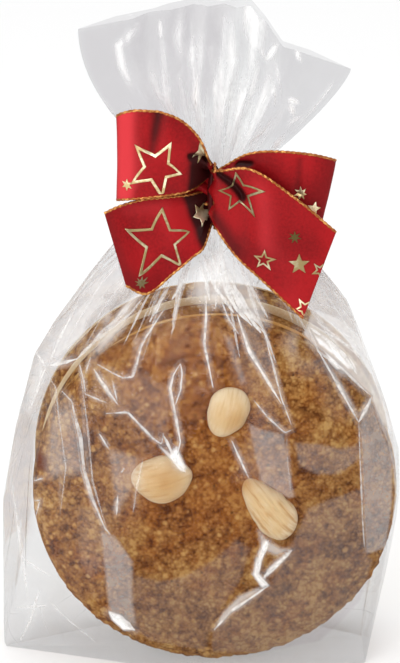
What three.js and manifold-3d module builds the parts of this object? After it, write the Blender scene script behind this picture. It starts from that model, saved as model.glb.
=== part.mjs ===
// A clear gift bag of round almond lebkuchen, tied at the neck with a ribbon bow.
// Millimetres, +Z up, the shown side towards -Y, standing on the bag's flat bottom.
import * as THREE from 'three';
import { ConvexGeometry } from 'three/addons/geometries/ConvexGeometry.js';
import { ParametricGeometry } from 'three/addons/geometries/ParametricGeometry.js';
import { mergeVertices } from 'three/addons/utils/BufferGeometryUtils.js';
import Module from 'manifold-3d';

// Stack: round biscuits standing on edge, one behind the other, domed side to the front.
// The film follows rings on the front dome, at these shares of its radius, and the back edge
const BISCUIT_RADIUS = 55;
const BISCUIT_THICK = 14.5;
const BISCUIT_COUNT = 3;
const DOME_POWER = 2.6;
const WAFER_THICK = 1.2;
const STACK_DEPTH = BISCUIT_COUNT * BISCUIT_THICK;
const DOME_RINGS = [0.35, 0.6, 0.78, 0.9, 0.97, 1];
const BACK_EDGE = 0.985;
const RIM_STEPS = 40;

// Almonds pressed into the front biscuit: centre x and z, length, width, turn in degrees.
// The film lies on a round spot on top of each, its radius a share of the almond's length
const ALMONDS = [
  { x: 4.2, z: 84.1, length: 15.5, width: 12.8, turn: 70 },
  { x: -15.5, z: 62.7, length: 18.5, width: 13.5, turn: 15 },
  { x: 16.6, z: 53.4, length: 23.5, width: 12.2, turn: -48 },
];
const ALMOND_STANDS_OUT = 4.6;
const ALMOND_TOP = 0.17;
const ALMOND_TOP_STEPS = 6;

// Bag: clear film drawn round the stack, folded along both sides, gathered at the neck
const FILM_CLEARANCE = 0.6;
const LEFT_FOLD = [[-65, 0], [-64.5, 31], [-64.5, 48], [-60.1, 71.7], [-53.9, 95.2], [-47.8, 105.6],
  [-38.1, 118.7], [-30, 130.4]];
const RIGHT_FOLD = [[52.6, 25.2], [55.9, 52], [55.9, 64.3], [49.4, 85.1], [45, 96], [39.7, 111.5],
  [32, 123]];
const BOTTOM = [[-22, -14.5], [46, -13], [46, 8], [20, 21.7], [-24, 21.7]];
const NECK_RADIUS = 6;
const NECK_BOTTOM = 143;
const NECK_TOP = 147;
const NECK_STEPS = 16;
const SHOULDER_FOLDS = 14;
const SHOULDER_FOLD_DEPTH = 0.2;
const SHOULDER_FOLDS_START = 104;
const SHOULDER_FOLDS_GROW = 1.5;

// Mouth of the bag above the neck, spread out as a fan: outline of its edge, x then z
const MOUTH = [[-39.5, 193.9], [-13.8, 200.7], [-3.7, 202.1], [10.4, 201.5], [14.7, 196.8],
  [19.7, 189.8], [27.2, 186.8], [39.5, 182.1]];
const FAN_SPREAD_LEFT = 2;
const FAN_SPREAD_RIGHT = 1.3;
const FAN_HALF_DEPTH = 5.2;
const FAN_FOLDS = 4.5;
const FAN_FOLD_DEPTH = 2.4;
const FAN_BACK_SHIFT = 1.1;
const FAN_OPENS_OVER = 0.5;

// Mesh density of the bag
const BAG_AROUND = 84;
const BODY_ROWS = 34;
const NECK_ROWS = 2;
const FAN_ROWS = 8;

// Bow: one ribbon in two loops and two tails, each strip given by its upper and lower edge
const RIBBON_THICK = 0.7;
const STRIP_ACROSS = 5;
const LOOP_ALONG = 30;
const TAIL_ALONG = 14;
const LEFT_LOOP = [
  { upper: [-1, -10, 152], lower: [-1, -10, 144] },
  { upper: [-12, -12.5, 168], lower: [-13, -11.5, 147] },
  { upper: [-23, -13.5, 171.5], lower: [-23, -12.5, 147] },
  { upper: [-28.4, -17, 172.2], lower: [-28.4, -16, 147.2] },
  { upper: [-23, -20.5, 174.6], lower: [-23, -19.5, 148.6] },
  { upper: [-12, -20, 173.2], lower: [-12, -18.5, 150] },
  { upper: [-5, -18, 167.5], lower: [-5, -16, 150.6] },
  { upper: [-1, -13.2, 155.8], lower: [-1, -12.8, 149.8] },
];
const LEFT_TAIL = [
  { upper: [-1, -11, 148], lower: [-1, -12, 138.5] },
  { upper: [-10, -14.5, 148], lower: [-5, -15.2, 131.5] },
  { upper: [-21, -16, 147.2], lower: [-12, -17.6, 125.5] },
  { upper: [-28, -16.8, 145.2], lower: [-20, -19.2, 119.8] },
  { upper: [-31.9, -17, 143.4], lower: [-25.8, -19.2, 122.3] },
];
const RIGHT_LOOP = [
  { upper: [1, -10, 152], lower: [1, -10, 144] },
  { upper: [8, -10.5, 156], lower: [9, -10.5, 143] },
  { upper: [28, -10.5, 158], lower: [26, -10.5, 140.5] },
  { upper: [34.3, -13.5, 158.4], lower: [31.3, -13, 140.2] },
  { upper: [27, -16.5, 160.9], lower: [25, -16, 141] },
  { upper: [10.4, -15.5, 160.8], lower: [9, -14.8, 143] },
  { upper: [1, -12.8, 155.2], lower: [1, -12.5, 146] },
];
const RIGHT_TAIL = [
  { upper: [1, -12.5, 155.5], lower: [1, -12.8, 139.3] },
  { upper: [9.6, -19, 157], lower: [5.5, -16.5, 131.6] },
  { upper: [22.9, -20.5, 149], lower: [12.8, -19, 124.8] },
  { upper: [34.9, -20, 138.6], lower: [25.6, -22, 113.2] },
];
const KNOT = { y: -11.2, z: 147, halfWidth: 2.2, halfDepth: 2.9, halfHeight: 9.3 };

// Tie: thin gold wire, one turn round the neck and one round the middle of the bow
const WIRE_RADIUS = 0.5;
const WIRE_GAP = 0.4;
const WIRE_SIDES = 6;
const WIRE_STEPS = 36;
const NECK_WIRE_HEIGHT = KNOT.z - 2;

const COLOURS = { film: 0xdedee0, ribbon: 0xb01f2c, gold: 0xc08a3a };

const wasm = await Module();
wasm.setup();

// Closed solid from a geometry: shared corners merged, triangles without area dropped
function solidOf(geometry) {
  geometry.deleteAttribute('normal');
  geometry.deleteAttribute('uv');
  const merged = mergeVertices(geometry, 1e-3);
  const index = merged.index.array;
  const kept = [];
  for (let i = 0; i < index.length; i += 3) {
    const [a, b, c] = index.slice(i, i + 3);
    if (a !== b && b !== c && c !== a) kept.push(a, b, c);
  }
  const vertProperties = new Float32Array(merged.attributes.position.array);
  const triVerts = new Uint32Array(kept);
  return new wasm.Manifold(new wasm.Mesh({ numProp: 3, vertProperties, triVerts }));
}

function geometryOf(solid) {
  const { vertProperties, triVerts } = solid.getMesh();
  const geometry = new THREE.BufferGeometry();
  geometry.setAttribute('position', new THREE.BufferAttribute(vertProperties, 3));
  geometry.setIndex(new THREE.BufferAttribute(triVerts, 1));
  geometry.computeVertexNormals();
  return geometry;
}

// Value of a line through [at, value] points, flat past its ends
function along(points, at) {
  if (at <= points[0][0]) return points[0][1];
  for (let i = 1; i < points.length; i += 1) {
    const [a, va] = points[i - 1];
    const [b, vb] = points[i];
    if (at <= b) return va + (vb - va) * (at - a) / (b - a);
  }
  return points[points.length - 1][1];
}

// Points that the film is drawn over: the domed stack, the almonds, the folds and the neck
function filmSupports() {
  const points = [];
  const radius = BISCUIT_RADIUS + FILM_CLEARANCE;
  const front = -STACK_DEPTH / 2 + BISCUIT_THICK - WAFER_THICK;
  const rise = BISCUIT_THICK - WAFER_THICK + FILM_CLEARANCE;
  const ring = (share, y) => {
    for (let i = 0; i < RIM_STEPS; i += 1) {
      const turn = i / RIM_STEPS * 2 * Math.PI;
      const z = BISCUIT_RADIUS + radius * share * Math.cos(turn);
      points.push(new THREE.Vector3(radius * share * Math.sin(turn), y, Math.max(z, 0)));
    }
  };
  for (const share of DOME_RINGS) {
    const dome = (1 - share ** DOME_POWER) ** (1 / DOME_POWER);
    ring(share, front - rise * dome);
  }
  ring(1, STACK_DEPTH / 2);
  ring(BACK_EDGE, STACK_DEPTH / 2 + FILM_CLEARANCE);
  for (const { x, z, length } of ALMONDS) {
    const share = Math.hypot(x, z - BISCUIT_RADIUS) / BISCUIT_RADIUS;
    const dome = (1 - share ** DOME_POWER) ** (1 / DOME_POWER);
    const y = front - rise * dome - ALMOND_STANDS_OUT;
    for (let i = 0; i < ALMOND_TOP_STEPS; i += 1) {
      const turn = i / ALMOND_TOP_STEPS * 2 * Math.PI;
      const reach = length * ALMOND_TOP;
      points.push(new THREE.Vector3(x + reach * Math.cos(turn), y, z + reach * Math.sin(turn)));
    }
  }
  for (const [x, z] of LEFT_FOLD) points.push(new THREE.Vector3(x, 0, z));
  for (const [x, z] of RIGHT_FOLD) points.push(new THREE.Vector3(x, 0, z));
  for (const [x, y] of BOTTOM) points.push(new THREE.Vector3(x, y, 0));
  for (let i = 0; i < NECK_STEPS; i += 1) {
    const turn = i / NECK_STEPS * 2 * Math.PI;
    points.push(new THREE.Vector3(NECK_RADIUS * Math.cos(turn), NECK_RADIUS * Math.sin(turn), NECK_BOTTOM));
  }
  return points;
}

// Planes of the tight film: the faces of the convex hull of its supports
function filmPlanes() {
  const corners = new ConvexGeometry(filmSupports()).attributes.position;
  const planes = [];
  for (let i = 0; i < corners.count; i += 3) {
    const [a, b, c] = [0, 1, 2].map((k) => new THREE.Vector3().fromBufferAttribute(corners, i + k));
    planes.push(new THREE.Plane().setFromCoplanarPoints(a, b, c));
  }
  return planes;
}

// Distance from the upright axis to the film at one height, in one direction
function filmReach(planes, dx, dy, z) {
  let reach = Infinity;
  for (const { normal, constant } of planes) {
    const slope = normal.x * dx + normal.y * dy;
    if (slope > 1e-6) reach = Math.min(reach, -(constant + normal.z * z) / slope);
  }
  return reach;
}

// Bag surface: round from 0 to 1, row from the middle of the bottom up to the closed mouth edge
function bagSurface() {
  const planes = filmPlanes();
  const width = (LEFT_FOLD[0][0] - RIGHT_FOLD[1][0]) / -2;
  const rows = 1 + BODY_ROWS + NECK_ROWS + FAN_ROWS + 1;
  const foldShare = (turn) => 0.5 - 0.5 * Math.cos(SHOULDER_FOLDS * turn);

  const bodyPoint = (turn, height, target) => {
    const out = new THREE.Vector2(width * Math.cos(turn), STACK_DEPTH / 2 * Math.sin(turn)).normalize();
    const start = (height - SHOULDER_FOLDS_START) / (NECK_BOTTOM - SHOULDER_FOLDS_START);
    const depth = SHOULDER_FOLD_DEPTH * Math.max(start, 0) ** SHOULDER_FOLDS_GROW;
    const reach = filmReach(planes, out.x, out.y, height) * (1 - depth * foldShare(turn));
    target.set(out.x * reach, out.y * reach, height);
  };

  const neckPoint = (turn, height, target) => {
    const radius = NECK_RADIUS * (1 - SHOULDER_FOLD_DEPTH * foldShare(turn));
    target.set(radius * Math.cos(turn), radius * Math.sin(turn), height);
  };

  const fanDepth = (across, side) => {
    const open = Math.sqrt(Math.max(1 - across ** 4, 0));
    const fold = Math.sin(Math.PI * FAN_FOLDS * across + (side > 0 ? FAN_BACK_SHIFT : 0));
    return open * (side * FAN_HALF_DEPTH + FAN_FOLD_DEPTH * fold);
  };

  const fanPoint = (turn, up, closed, target) => {
    const across = Math.cos(turn);
    const side = Math.sin(turn) < 0 ? -1 : 1;
    const end = across < 0 ? -MOUTH[0][0] : MOUTH[MOUTH.length - 1][0];
    const power = across < 0 ? FAN_SPREAD_LEFT : FAN_SPREAD_RIGHT;
    const spread = NECK_RADIUS + (end - NECK_RADIUS) * (1 - (1 - up) ** power);
    const top = along(MOUTH, across * end);
    const mouth = closed ? (fanDepth(across, -1) + fanDepth(across, 1)) / 2 : fanDepth(across, side);
    const gathered = NECK_RADIUS * Math.sin(turn) * (1 - SHOULDER_FOLD_DEPTH * foldShare(turn));
    const opened = Math.min(up / FAN_OPENS_OVER, 1);
    const y = THREE.MathUtils.lerp(gathered, mouth, opened);
    target.set(spread * across, y, NECK_TOP + (top - NECK_TOP) * up);
  };

  return new ParametricGeometry((u, v, target) => {
    const turn = 2 * Math.PI * u;
    const row = Math.round(v * rows);
    if (row === 0) {
      target.set(0, 0, 0);
    } else if (row <= BODY_ROWS) {
      const share = (row - 1) / (BODY_ROWS - 1);
      bodyPoint(turn, (NECK_BOTTOM - 1) * (1 - Math.cos(Math.PI * share)) / 2, target);
    } else if (row <= BODY_ROWS + NECK_ROWS) {
      const share = (row - BODY_ROWS - 1) / NECK_ROWS;
      neckPoint(turn, NECK_BOTTOM + (NECK_TOP - NECK_BOTTOM) * share, target);
    } else {
      const fanRow = row - BODY_ROWS - NECK_ROWS;
      const up = Math.min(fanRow / FAN_ROWS, 1);
      fanPoint(turn, up, fanRow > FAN_ROWS, target);
    }
  }, BAG_AROUND, rows);
}

// Ribbon strip: a sheet of even thickness between two smooth edges, closed all round
function ribbonStrip(rows, steps) {
  const edge = (name) => new THREE.CatmullRomCurve3(rows.map((row) => new THREE.Vector3(...row[name])));
  const upper = edge('upper');
  const lower = edge('lower');
  const middle = (across, way) => upper.getPoint(way).lerp(lower.getPoint(way), across);
  const normal = (across, way) => {
    const reach = 0.01;
    const ahead = middle(across, Math.min(way + reach, 1)).sub(middle(across, Math.max(way - reach, 0)));
    const side = lower.getPoint(way).sub(upper.getPoint(way));
    return side.cross(ahead).normalize();
  };
  const around = 2 * STRIP_ACROSS + 2;
  return new ParametricGeometry((u, v, target) => {
    const step = Math.round(u * around) % around;
    const front = step <= STRIP_ACROSS;
    const across = (front ? step : around - 1 - step) / STRIP_ACROSS;
    const row = Math.round(v * (steps + 2));
    const way = Math.min(Math.max(row - 1, 0), steps) / steps;
    const atEnd = row === 0 || row === steps + 2;
    const offset = atEnd ? 0 : (front ? 0.5 : -0.5) * RIBBON_THICK;
    target.copy(middle(across, way)).addScaledVector(normal(across, way), offset);
  }, around, steps + 2);
}

// Knot: the pleated middle of the ribbon, drawn together under the wire
function knotGeometry() {
  const knot = new THREE.SphereGeometry(1, 16, 12);
  knot.scale(KNOT.halfWidth, KNOT.halfDepth, KNOT.halfHeight);
  return knot.translate(0, KNOT.y, KNOT.z);
}

// Wire ring: a round wire bent to an ellipse, level or upright
function wireRing(centre, halfA, halfB, upright) {
  const ring = new THREE.TorusGeometry(1, WIRE_RADIUS, WIRE_SIDES, WIRE_STEPS);
  const place = ring.attributes.position;
  const point = new THREE.Vector3();
  for (let i = 0; i < place.count; i += 1) {
    point.fromBufferAttribute(place, i);
    const turn = Math.atan2(point.y, point.x);
    const wide = Math.hypot(point.x, point.y) - 1;
    const a = (halfA + wide) * Math.cos(turn);
    const b = (halfB + wide) * Math.sin(turn);
    if (upright) place.setXYZ(i, point.z, a, b);
    else place.setXYZ(i, a, b, point.z);
  }
  return ring.translate(centre.x, centre.y, centre.z);
}

function mesh(name, solid, colour, roughness, metalness) {
  const material = new THREE.MeshStandardMaterial({ color: colour, roughness, metalness });
  const piece = new THREE.Mesh(geometryOf(solid), material);
  piece.name = name;
  return piece;
}

const bag = solidOf(bagSurface());

const strips = [
  solidOf(ribbonStrip(LEFT_LOOP, LOOP_ALONG)),
  solidOf(ribbonStrip(LEFT_TAIL, TAIL_ALONG)),
  solidOf(ribbonStrip(RIGHT_LOOP, LOOP_ALONG)),
  solidOf(ribbonStrip(RIGHT_TAIL, TAIL_ALONG)),
];
const bow = strips.reduce((whole, strip) => whole.add(strip), solidOf(knotGeometry()));

const neckTurn = NECK_RADIUS + WIRE_GAP + WIRE_RADIUS;
const neckWire = wireRing({ x: 0, y: 0, z: NECK_WIRE_HEIGHT }, neckTurn, neckTurn, false);
const bowTurn = KNOT.halfDepth + WIRE_GAP + WIRE_RADIUS;
const bowWire = wireRing(
  { x: 0, y: KNOT.y, z: KNOT.z }, bowTurn, KNOT.halfHeight + WIRE_GAP + WIRE_RADIUS, true);
const tie = solidOf(neckWire).add(solidOf(bowWire));

const pack = new THREE.Group();
pack.add(mesh('bag', bag, COLOURS.film, 0.15, 0));
pack.add(mesh('ribbon_bow', bow, COLOURS.ribbon, 0.45, 0));
pack.add(mesh('tie', tie, COLOURS.gold, 0.35, 0.8));

export default pack;
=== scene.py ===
import itertools
import math

import bmesh
import bpy
import numpy as np
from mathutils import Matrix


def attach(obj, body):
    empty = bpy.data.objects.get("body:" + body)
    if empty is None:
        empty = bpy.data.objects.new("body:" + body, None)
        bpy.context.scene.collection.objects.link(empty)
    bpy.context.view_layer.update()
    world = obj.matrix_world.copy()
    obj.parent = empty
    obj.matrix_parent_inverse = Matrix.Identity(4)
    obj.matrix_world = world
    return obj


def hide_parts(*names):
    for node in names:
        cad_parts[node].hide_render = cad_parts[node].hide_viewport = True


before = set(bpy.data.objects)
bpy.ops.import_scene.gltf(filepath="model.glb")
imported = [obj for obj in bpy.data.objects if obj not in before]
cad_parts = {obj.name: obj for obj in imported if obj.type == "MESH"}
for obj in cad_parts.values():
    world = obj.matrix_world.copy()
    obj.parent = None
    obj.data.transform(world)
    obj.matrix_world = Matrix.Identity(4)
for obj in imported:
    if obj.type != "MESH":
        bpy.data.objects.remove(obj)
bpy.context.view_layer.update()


# Baking wafers
# Each lebkuchen is baked on a thin round wafer of pressed starch, cream coloured and toasted along its edge.
# It stays stuck to the flat back of the dough and shows as a pale rim where it is wider than the dough.
MM = 0.001
# Middle in x and z, the wafer's back in y, radius of dough and wafer, how far the wafer sits up and aside on
# the dough, how far its rim is toasted, corners along a side of the dough's grid, and seed
BISCUITS = {
    "front": {"x": 0.0, "z": 55.0, "back": -7.25, "dough": 54.6, "wafer": 54.0, "slip": 1.2, "aside": 0.7,
              "toast": 2.0, "grid": 240, "seed": 11},
    "middle": {"x": -0.2, "z": 56.1, "back": 7.25, "dough": 52.6, "wafer": 53.4, "slip": 1.5, "aside": 0.3,
               "toast": 0.4, "grid": 130, "seed": 12},
    "back": {"x": -0.7, "z": 56.2, "back": 21.75, "dough": 54.5, "wafer": 54.8, "slip": 0, "aside": 0,
             "toast": 1.0, "grid": 130, "seed": 13},
}
NOISE_CELLS = 32
WAFER_THICK = 1.2
WAFER_AROUND = 300
# From the middle of the front round the rim to the middle of the back, in shares of radius and thickness
WAFER_PROFILE = [(0.35, 0.0), (0.8, 0.0), (0.97, 0.0), (0.996, 0.08), (1.0, 0.3), (1.0, 0.7), (0.996, 0.92),
                 (0.97, 1.0), (0.8, 1.0), (0.35, 1.0)]
WAFER_WAVE = 0.004
WAFER_WAVE_LOOP = 30
WAFER_WAVE_SIZE = 9
WAFER_RIM_FROM = 0.9
WAFER_FLAT_TOAST = 0.3
WAFER_CREAM = (0.74, 0.58, 0.36, 1)
WAFER_TOAST = (0.62, 0.32, 0.09, 1)


def circle(count):
    """Even angles once round."""
    return np.linspace(0, 2 * np.pi, count, endpoint=False)


def lattice_noise(places, size, seed):
    """Smooth noise from -1 to 1: random values on a cubic lattice of this size, blended by a cubic fade."""
    values = np.random.default_rng(seed).uniform(-1, 1, (NOISE_CELLS,) * 3)
    at = places / size
    cell = np.floor(at).astype(int)
    part = at - cell
    fade = part * part * (3 - 2 * part)
    total = np.zeros(places.shape[:-1])
    for corner in itertools.product((0, 1), repeat=3):
        weight = np.prod(np.where(corner, fade, 1 - fade), axis=-1)
        total += weight * values[tuple(np.moveaxis((cell + corner) % NOISE_CELLS, -1, 0))]
    return total


def loop_noise(turn, loop, level, size, seed):
    """Noise read round a circle of the loop's radius at a level, so that it meets itself after a turn."""
    places = np.stack([np.cos(turn) * loop, np.sin(turn) * loop, np.full(turn.shape, level)], axis=-1)
    return lattice_noise(places, size, seed)


def lathe(first, rings, last):
    """A closed shape from a first pole, rows of corners in rings, and a last pole: its places and faces."""
    count, around = rings.shape[:2]
    ring = 1 + np.arange(count * around).reshape(count, around)
    turned = np.roll(ring, -1, axis=1)
    quads = np.stack([ring[:-1], ring[1:], turned[1:], turned[:-1]], axis=-1).reshape(-1, 4)
    start = np.stack([np.zeros(around, int), ring[0], turned[0]], axis=-1)
    end = np.stack([np.full(around, count * around + 1), turned[-1], ring[-1]], axis=-1)
    return np.vstack([first, rings.reshape(-1, 3), last]), quads.tolist() + start.tolist() + end.tolist()


def make_piece(name, places, faces, finish, slot, closed=True, uv=None, marks=None, flat=False):
    """A smooth or flat-faced mesh from corner places in mm, with a UV map and named values at its corners;
    a closed one has its faces turned outwards."""
    mesh = bpy.data.meshes.new(name)
    mesh.from_pydata((places * MM).tolist(), [], faces, shade_flat=flat)
    if uv is not None:
        corners = np.zeros(len(mesh.loops), np.int32)
        mesh.loops.foreach_get("vertex_index", corners)
        mesh.uv_layers.new(name="UVMap").data.foreach_set("uv", uv[corners].astype(np.float32).ravel())
    for mark, values in (marks or {}).items():
        mesh.attributes.new(mark, "FLOAT", "POINT").data.foreach_set("value", values.astype(np.float32))
    if closed:
        shell = bmesh.new()
        shell.from_mesh(mesh)
        bmesh.ops.recalc_face_normals(shell, faces=shell.faces)
        shell.to_mesh(mesh)
        shell.free()
    piece = bpy.data.objects.new(name, mesh)
    bpy.context.scene.collection.objects.link(piece)
    mesh.materials.append(finish)
    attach(piece, "root")
    return piece


class Tone:
    """A value in a material's nodes. Arithmetic on tones adds Math nodes, and node() adds any other node."""

    def __init__(self, tree, socket=None):
        self.tree = tree
        self.socket = socket

    def node(self, kind, settings=None, sockets=None, out=0):
        """A node with its settings, then its sockets' values or links; gives one of its outputs."""
        made = self.tree.nodes.new(kind)
        for name, value in (settings or {}).items():
            if name == "stops":
                while len(made.color_ramp.elements) < len(value):
                    made.color_ramp.elements.new(1.0)
                for stop, (at, colour) in zip(made.color_ramp.elements, value):
                    stop.position = at
                    stop.color = colour
            else:
                setattr(made, name, value)
        for name, value in (sockets or {}).items():
            named = [socket for socket in made.inputs if socket.enabled and socket.name == name]
            self.feed(made.inputs[name] if isinstance(name, int) else named[0], value)
        return Tone(self.tree, made.outputs[out])

    def feed(self, target, value):
        """Links a tone to a socket, or sets a constant on it."""
        if isinstance(value, Tone):
            self.tree.links.new(value.socket, target)
        else:
            target.default_value = value

    def math(self, operation, first, second=0.0):
        """One Math node on two values."""
        return self.node("ShaderNodeMath", {"operation": operation}, {0: first, 1: second})

    def __add__(self, other):
        return self.math("ADD", self, other)

    def __sub__(self, other):
        return self.math("SUBTRACT", self, other)

    def __rsub__(self, other):
        return self.math("SUBTRACT", other, self)

    def __mul__(self, other):
        return self.math("MULTIPLY", self, other)

    __radd__ = __add__
    __rmul__ = __mul__

    def step(self, low, high):
        """0 below low and 1 above high, smooth between."""
        return self.node("ShaderNodeMapRange", {"interpolation_type": "SMOOTHSTEP"},
                         {"Value": self, "From Min": low, "From Max": high})

    def blend(self, first, second, way="MIX"):
        """The colour between two colours at this share, mixed or multiplied."""
        return self.node("ShaderNodeMix", {"data_type": "RGBA", "blend_type": way},
                         {"Factor": self, "A": first, "B": second}, 2)

    def mark(self, name):
        """A named value from the mesh's corners."""
        return self.node("ShaderNodeAttribute", {"attribute_name": name}, out=2)

    def gap(self, place):
        """Distance in metres to a place."""
        return self.node("ShaderNodeVectorMath", {"operation": "DISTANCE"}, {0: self, 1: place}, 1)

    def noise(self, scale, detail=2.0, roughness=0.5, stretch=None, out=0):
        """Noise of this many waves to the unit, on coordinates that may be stretched."""
        place = self.node("ShaderNodeMapping", None, {"Vector": self, "Scale": stretch}) if stretch else self
        return self.node("ShaderNodeTexNoise", None,
                         {"Vector": place, "Scale": scale, "Detail": detail, "Roughness": roughness}, out)

    def cells(self, scale):
        """Random cells, this many to the metre: distance to a cell's middle, and each cell's own value."""
        sockets = {"Vector": self, "Scale": scale}
        kind = self.node("ShaderNodeTexVoronoi", None, sockets, 1)
        return (self.node("ShaderNodeTexVoronoi", None, sockets),
                self.node("ShaderNodeSeparateColor", None, {"Color": kind}))

    def bump(self, strength, distance):
        """The normal of a surface that this tone raises by up to a distance in mm."""
        return self.node("ShaderNodeBump", None,
                         {"Height": self, "Strength": strength, "Distance": distance * MM})


def new_finish(name, constants, coordinates="Object"):
    """A material whose shader has these constant values; gives it, its shader and a tone of coordinates."""
    finish = bpy.data.materials.new(name)
    finish.use_nodes = True
    tree = finish.node_tree
    shader = tree.nodes["Principled BSDF"]
    for socket, value in constants.items():
        shader.inputs[socket].default_value = value
    return finish, shader, Tone(tree).node("ShaderNodeTexCoord", out=coordinates)


def vary(shader, colour, roughness, normal):
    """Feeds a shader what changes over the surface."""
    for socket, tone in (("Base Color", colour), ("Roughness", roughness), ("Normal", normal)):
        tone.feed(shader.inputs[socket], tone)


def wafer_finish():
    """Cream starch with a faint mottle and pores, toasted to gold where they are strong. The mark rim says
    how strongly, and what it has above 1 toasts the wafer all over."""
    finish, shader, place = new_finish("pressed_wafer", {"Specular IOR Level": 0.25})
    rim = place.mark("rim")
    mottle = place.noise(220, 4, 0.6)
    pores = place.noise(1500, 2, 0.5)
    toast = (mottle * 0.75 + pores * 0.25).step(0.44, 0.66) * rim + place.math("MAXIMUM", rim - 1, 0) * 0.6
    colour = toast.blend(WAFER_CREAM, WAFER_TOAST)
    vary(shader, colour, 0.75 + 0.15 * mottle, (mottle + pores * 0.6).bump(0.5, 0.3))
    return finish


def make_wafer(name, size, finish):
    """A disc: its edge profile carried round, with its radius waved a little by noise."""
    turn = circle(WAFER_AROUND)
    share, depth = np.array(WAFER_PROFILE).T
    wave = loop_noise(turn, WAFER_WAVE_LOOP, size["back"], WAFER_WAVE_SIZE, size["seed"])
    radius = np.outer(share, size["wafer"] * (1 + WAFER_WAVE * wave))
    centre = size["x"] + size["aside"]
    middle = size["z"] + size["slip"]
    front = size["back"] - WAFER_THICK
    y = front + np.outer(depth * WAFER_THICK, np.ones(WAFER_AROUND))
    rings = np.stack([centre + radius * np.sin(turn), y, middle + radius * np.cos(turn)], axis=-1)
    places, faces = lathe([centre, front, middle], rings, [centre, size["back"], middle])
    out = np.hypot(places[:, 0] - centre, places[:, 2] - middle) / size["wafer"]
    rim = np.where(out > WAFER_RIM_FROM, size["toast"], WAFER_FLAT_TOAST)
    make_piece(f"wafer_{name}", places, faces, finish, "wafer", marks={"rim": rim})


wafer_look = wafer_finish()
for name, size in BISCUITS.items():
    make_wafer(name, size, wafer_look)


# Lebkuchen dough
# Round biscuits of coarse nut and honey dough, baked to a matt brown dome with a craggy, grainy top.
# Three stand on edge in the bag, one behind the other, each baked onto its wafer.
DOUGH_RISE = 13.1
DOUGH_STANDS_AT = 0.4
DOME_POWER = 2.6
DOUGH_WAVE = 0.007
DOUGH_WAVE_LOOP = 20
DOUGH_WAVE_SIZE = 8
# Lumps: height and size in mm, and what is added to the seed
LUMPS = [(0.5, 7, 0), (0.3, 2.6, 20)]
# Grains: height and size in mm, how far a grain reaches as a share of that, and what is added to the seed
GRAINS = [(0.75, 2.7, 0.55, 40), (0.35, 1.3, 0.5, 60)]
DOUGH_SINKS = 0.35
# From dark red-brown to pale ochre: place on the noise's scale, and colour. The gaps between grains lean
# to the dark end, as painted shade
DOUGH_TONES = [(0.385, (0.12, 0.040, 0.008, 1)), (0.46, (0.28, 0.118, 0.030, 1)),
               (0.53, (0.41, 0.205, 0.060, 1)), (0.61, (0.58, 0.350, 0.120, 1))]
RUST_TINT = (0.80, 0.57, 0.38, 1)
# Places made redder and darker: middle in metres, where it starts and stops to fade, and how strong it is.
# The first and last are baked redder; the second, over the top of the front biscuit, is painted shade
RUST_AND_SHADE_SPOTS = [((-0.003, -0.02, 0.068), 0.008, 0.05, 0.9), ((-0.012, -0.014, 0.104), 0.008, 0.032, 0.7),
              ((-0.045, -0.012, 0.030), 0.006, 0.03, 0.5)]
# A dark red spot at the left rim of the front biscuit: its middle in metres, and its colour
DARK_SPOT_PLACE = (-0.0525, -0.013, 0.066)
DARK_SPOT_RED = (0.17, 0.04, 0.008, 1)
NUT_PALE = (0.62, 0.36, 0.12, 1)
SPICE_DARK = (0.05, 0.018, 0.006, 1)
GRAIN_STIR = (0.0005, 0.0005, 0.0005)


def grain_distance(places, size, seed):
    """Distance to the nearest of random grain centres, one in each lattice cell, in cell sizes."""
    centres = np.random.default_rng(seed).uniform(0.1, 0.9, (NOISE_CELLS,) * 3 + (3,))
    at = places / size
    cell = np.floor(at).astype(int)
    part = at - cell
    nearest = np.full(places.shape[:-1], np.inf)
    for step in itertools.product((-1, 0, 1), repeat=3):
        centre = centres[tuple(np.moveaxis((cell + step) % NOISE_CELLS, -1, 0))] + step
        nearest = np.minimum(nearest, np.linalg.norm(centre - part, axis=-1))
    return nearest


def unit(vectors):
    """Vectors along the last axis, each divided by its length."""
    return vectors / np.maximum(np.linalg.norm(vectors, axis=-1, keepdims=True), 1e-9)


def grid_faces(rows, columns, ring=False):
    """Faces of a grid of corners stored row by row; ring joins its last column to its first."""
    corner = np.arange(rows * columns).reshape(rows, columns)
    if ring:
        corner = np.hstack([corner, corner[:, :1]])
    square = [corner[:-1, :-1], corner[1:, :-1], corner[1:, 1:], corner[:-1, 1:]]
    return np.stack(square, axis=-1).reshape(-1, 4)


def grid_rim(rows, columns):
    """The corners round the edge of a grid, in order."""
    corner = np.arange(rows * columns).reshape(rows, columns)
    return np.concatenate([corner[0], corner[1:, -1], corner[-1, -2::-1], corner[-2:0:-1, 0]])


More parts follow.
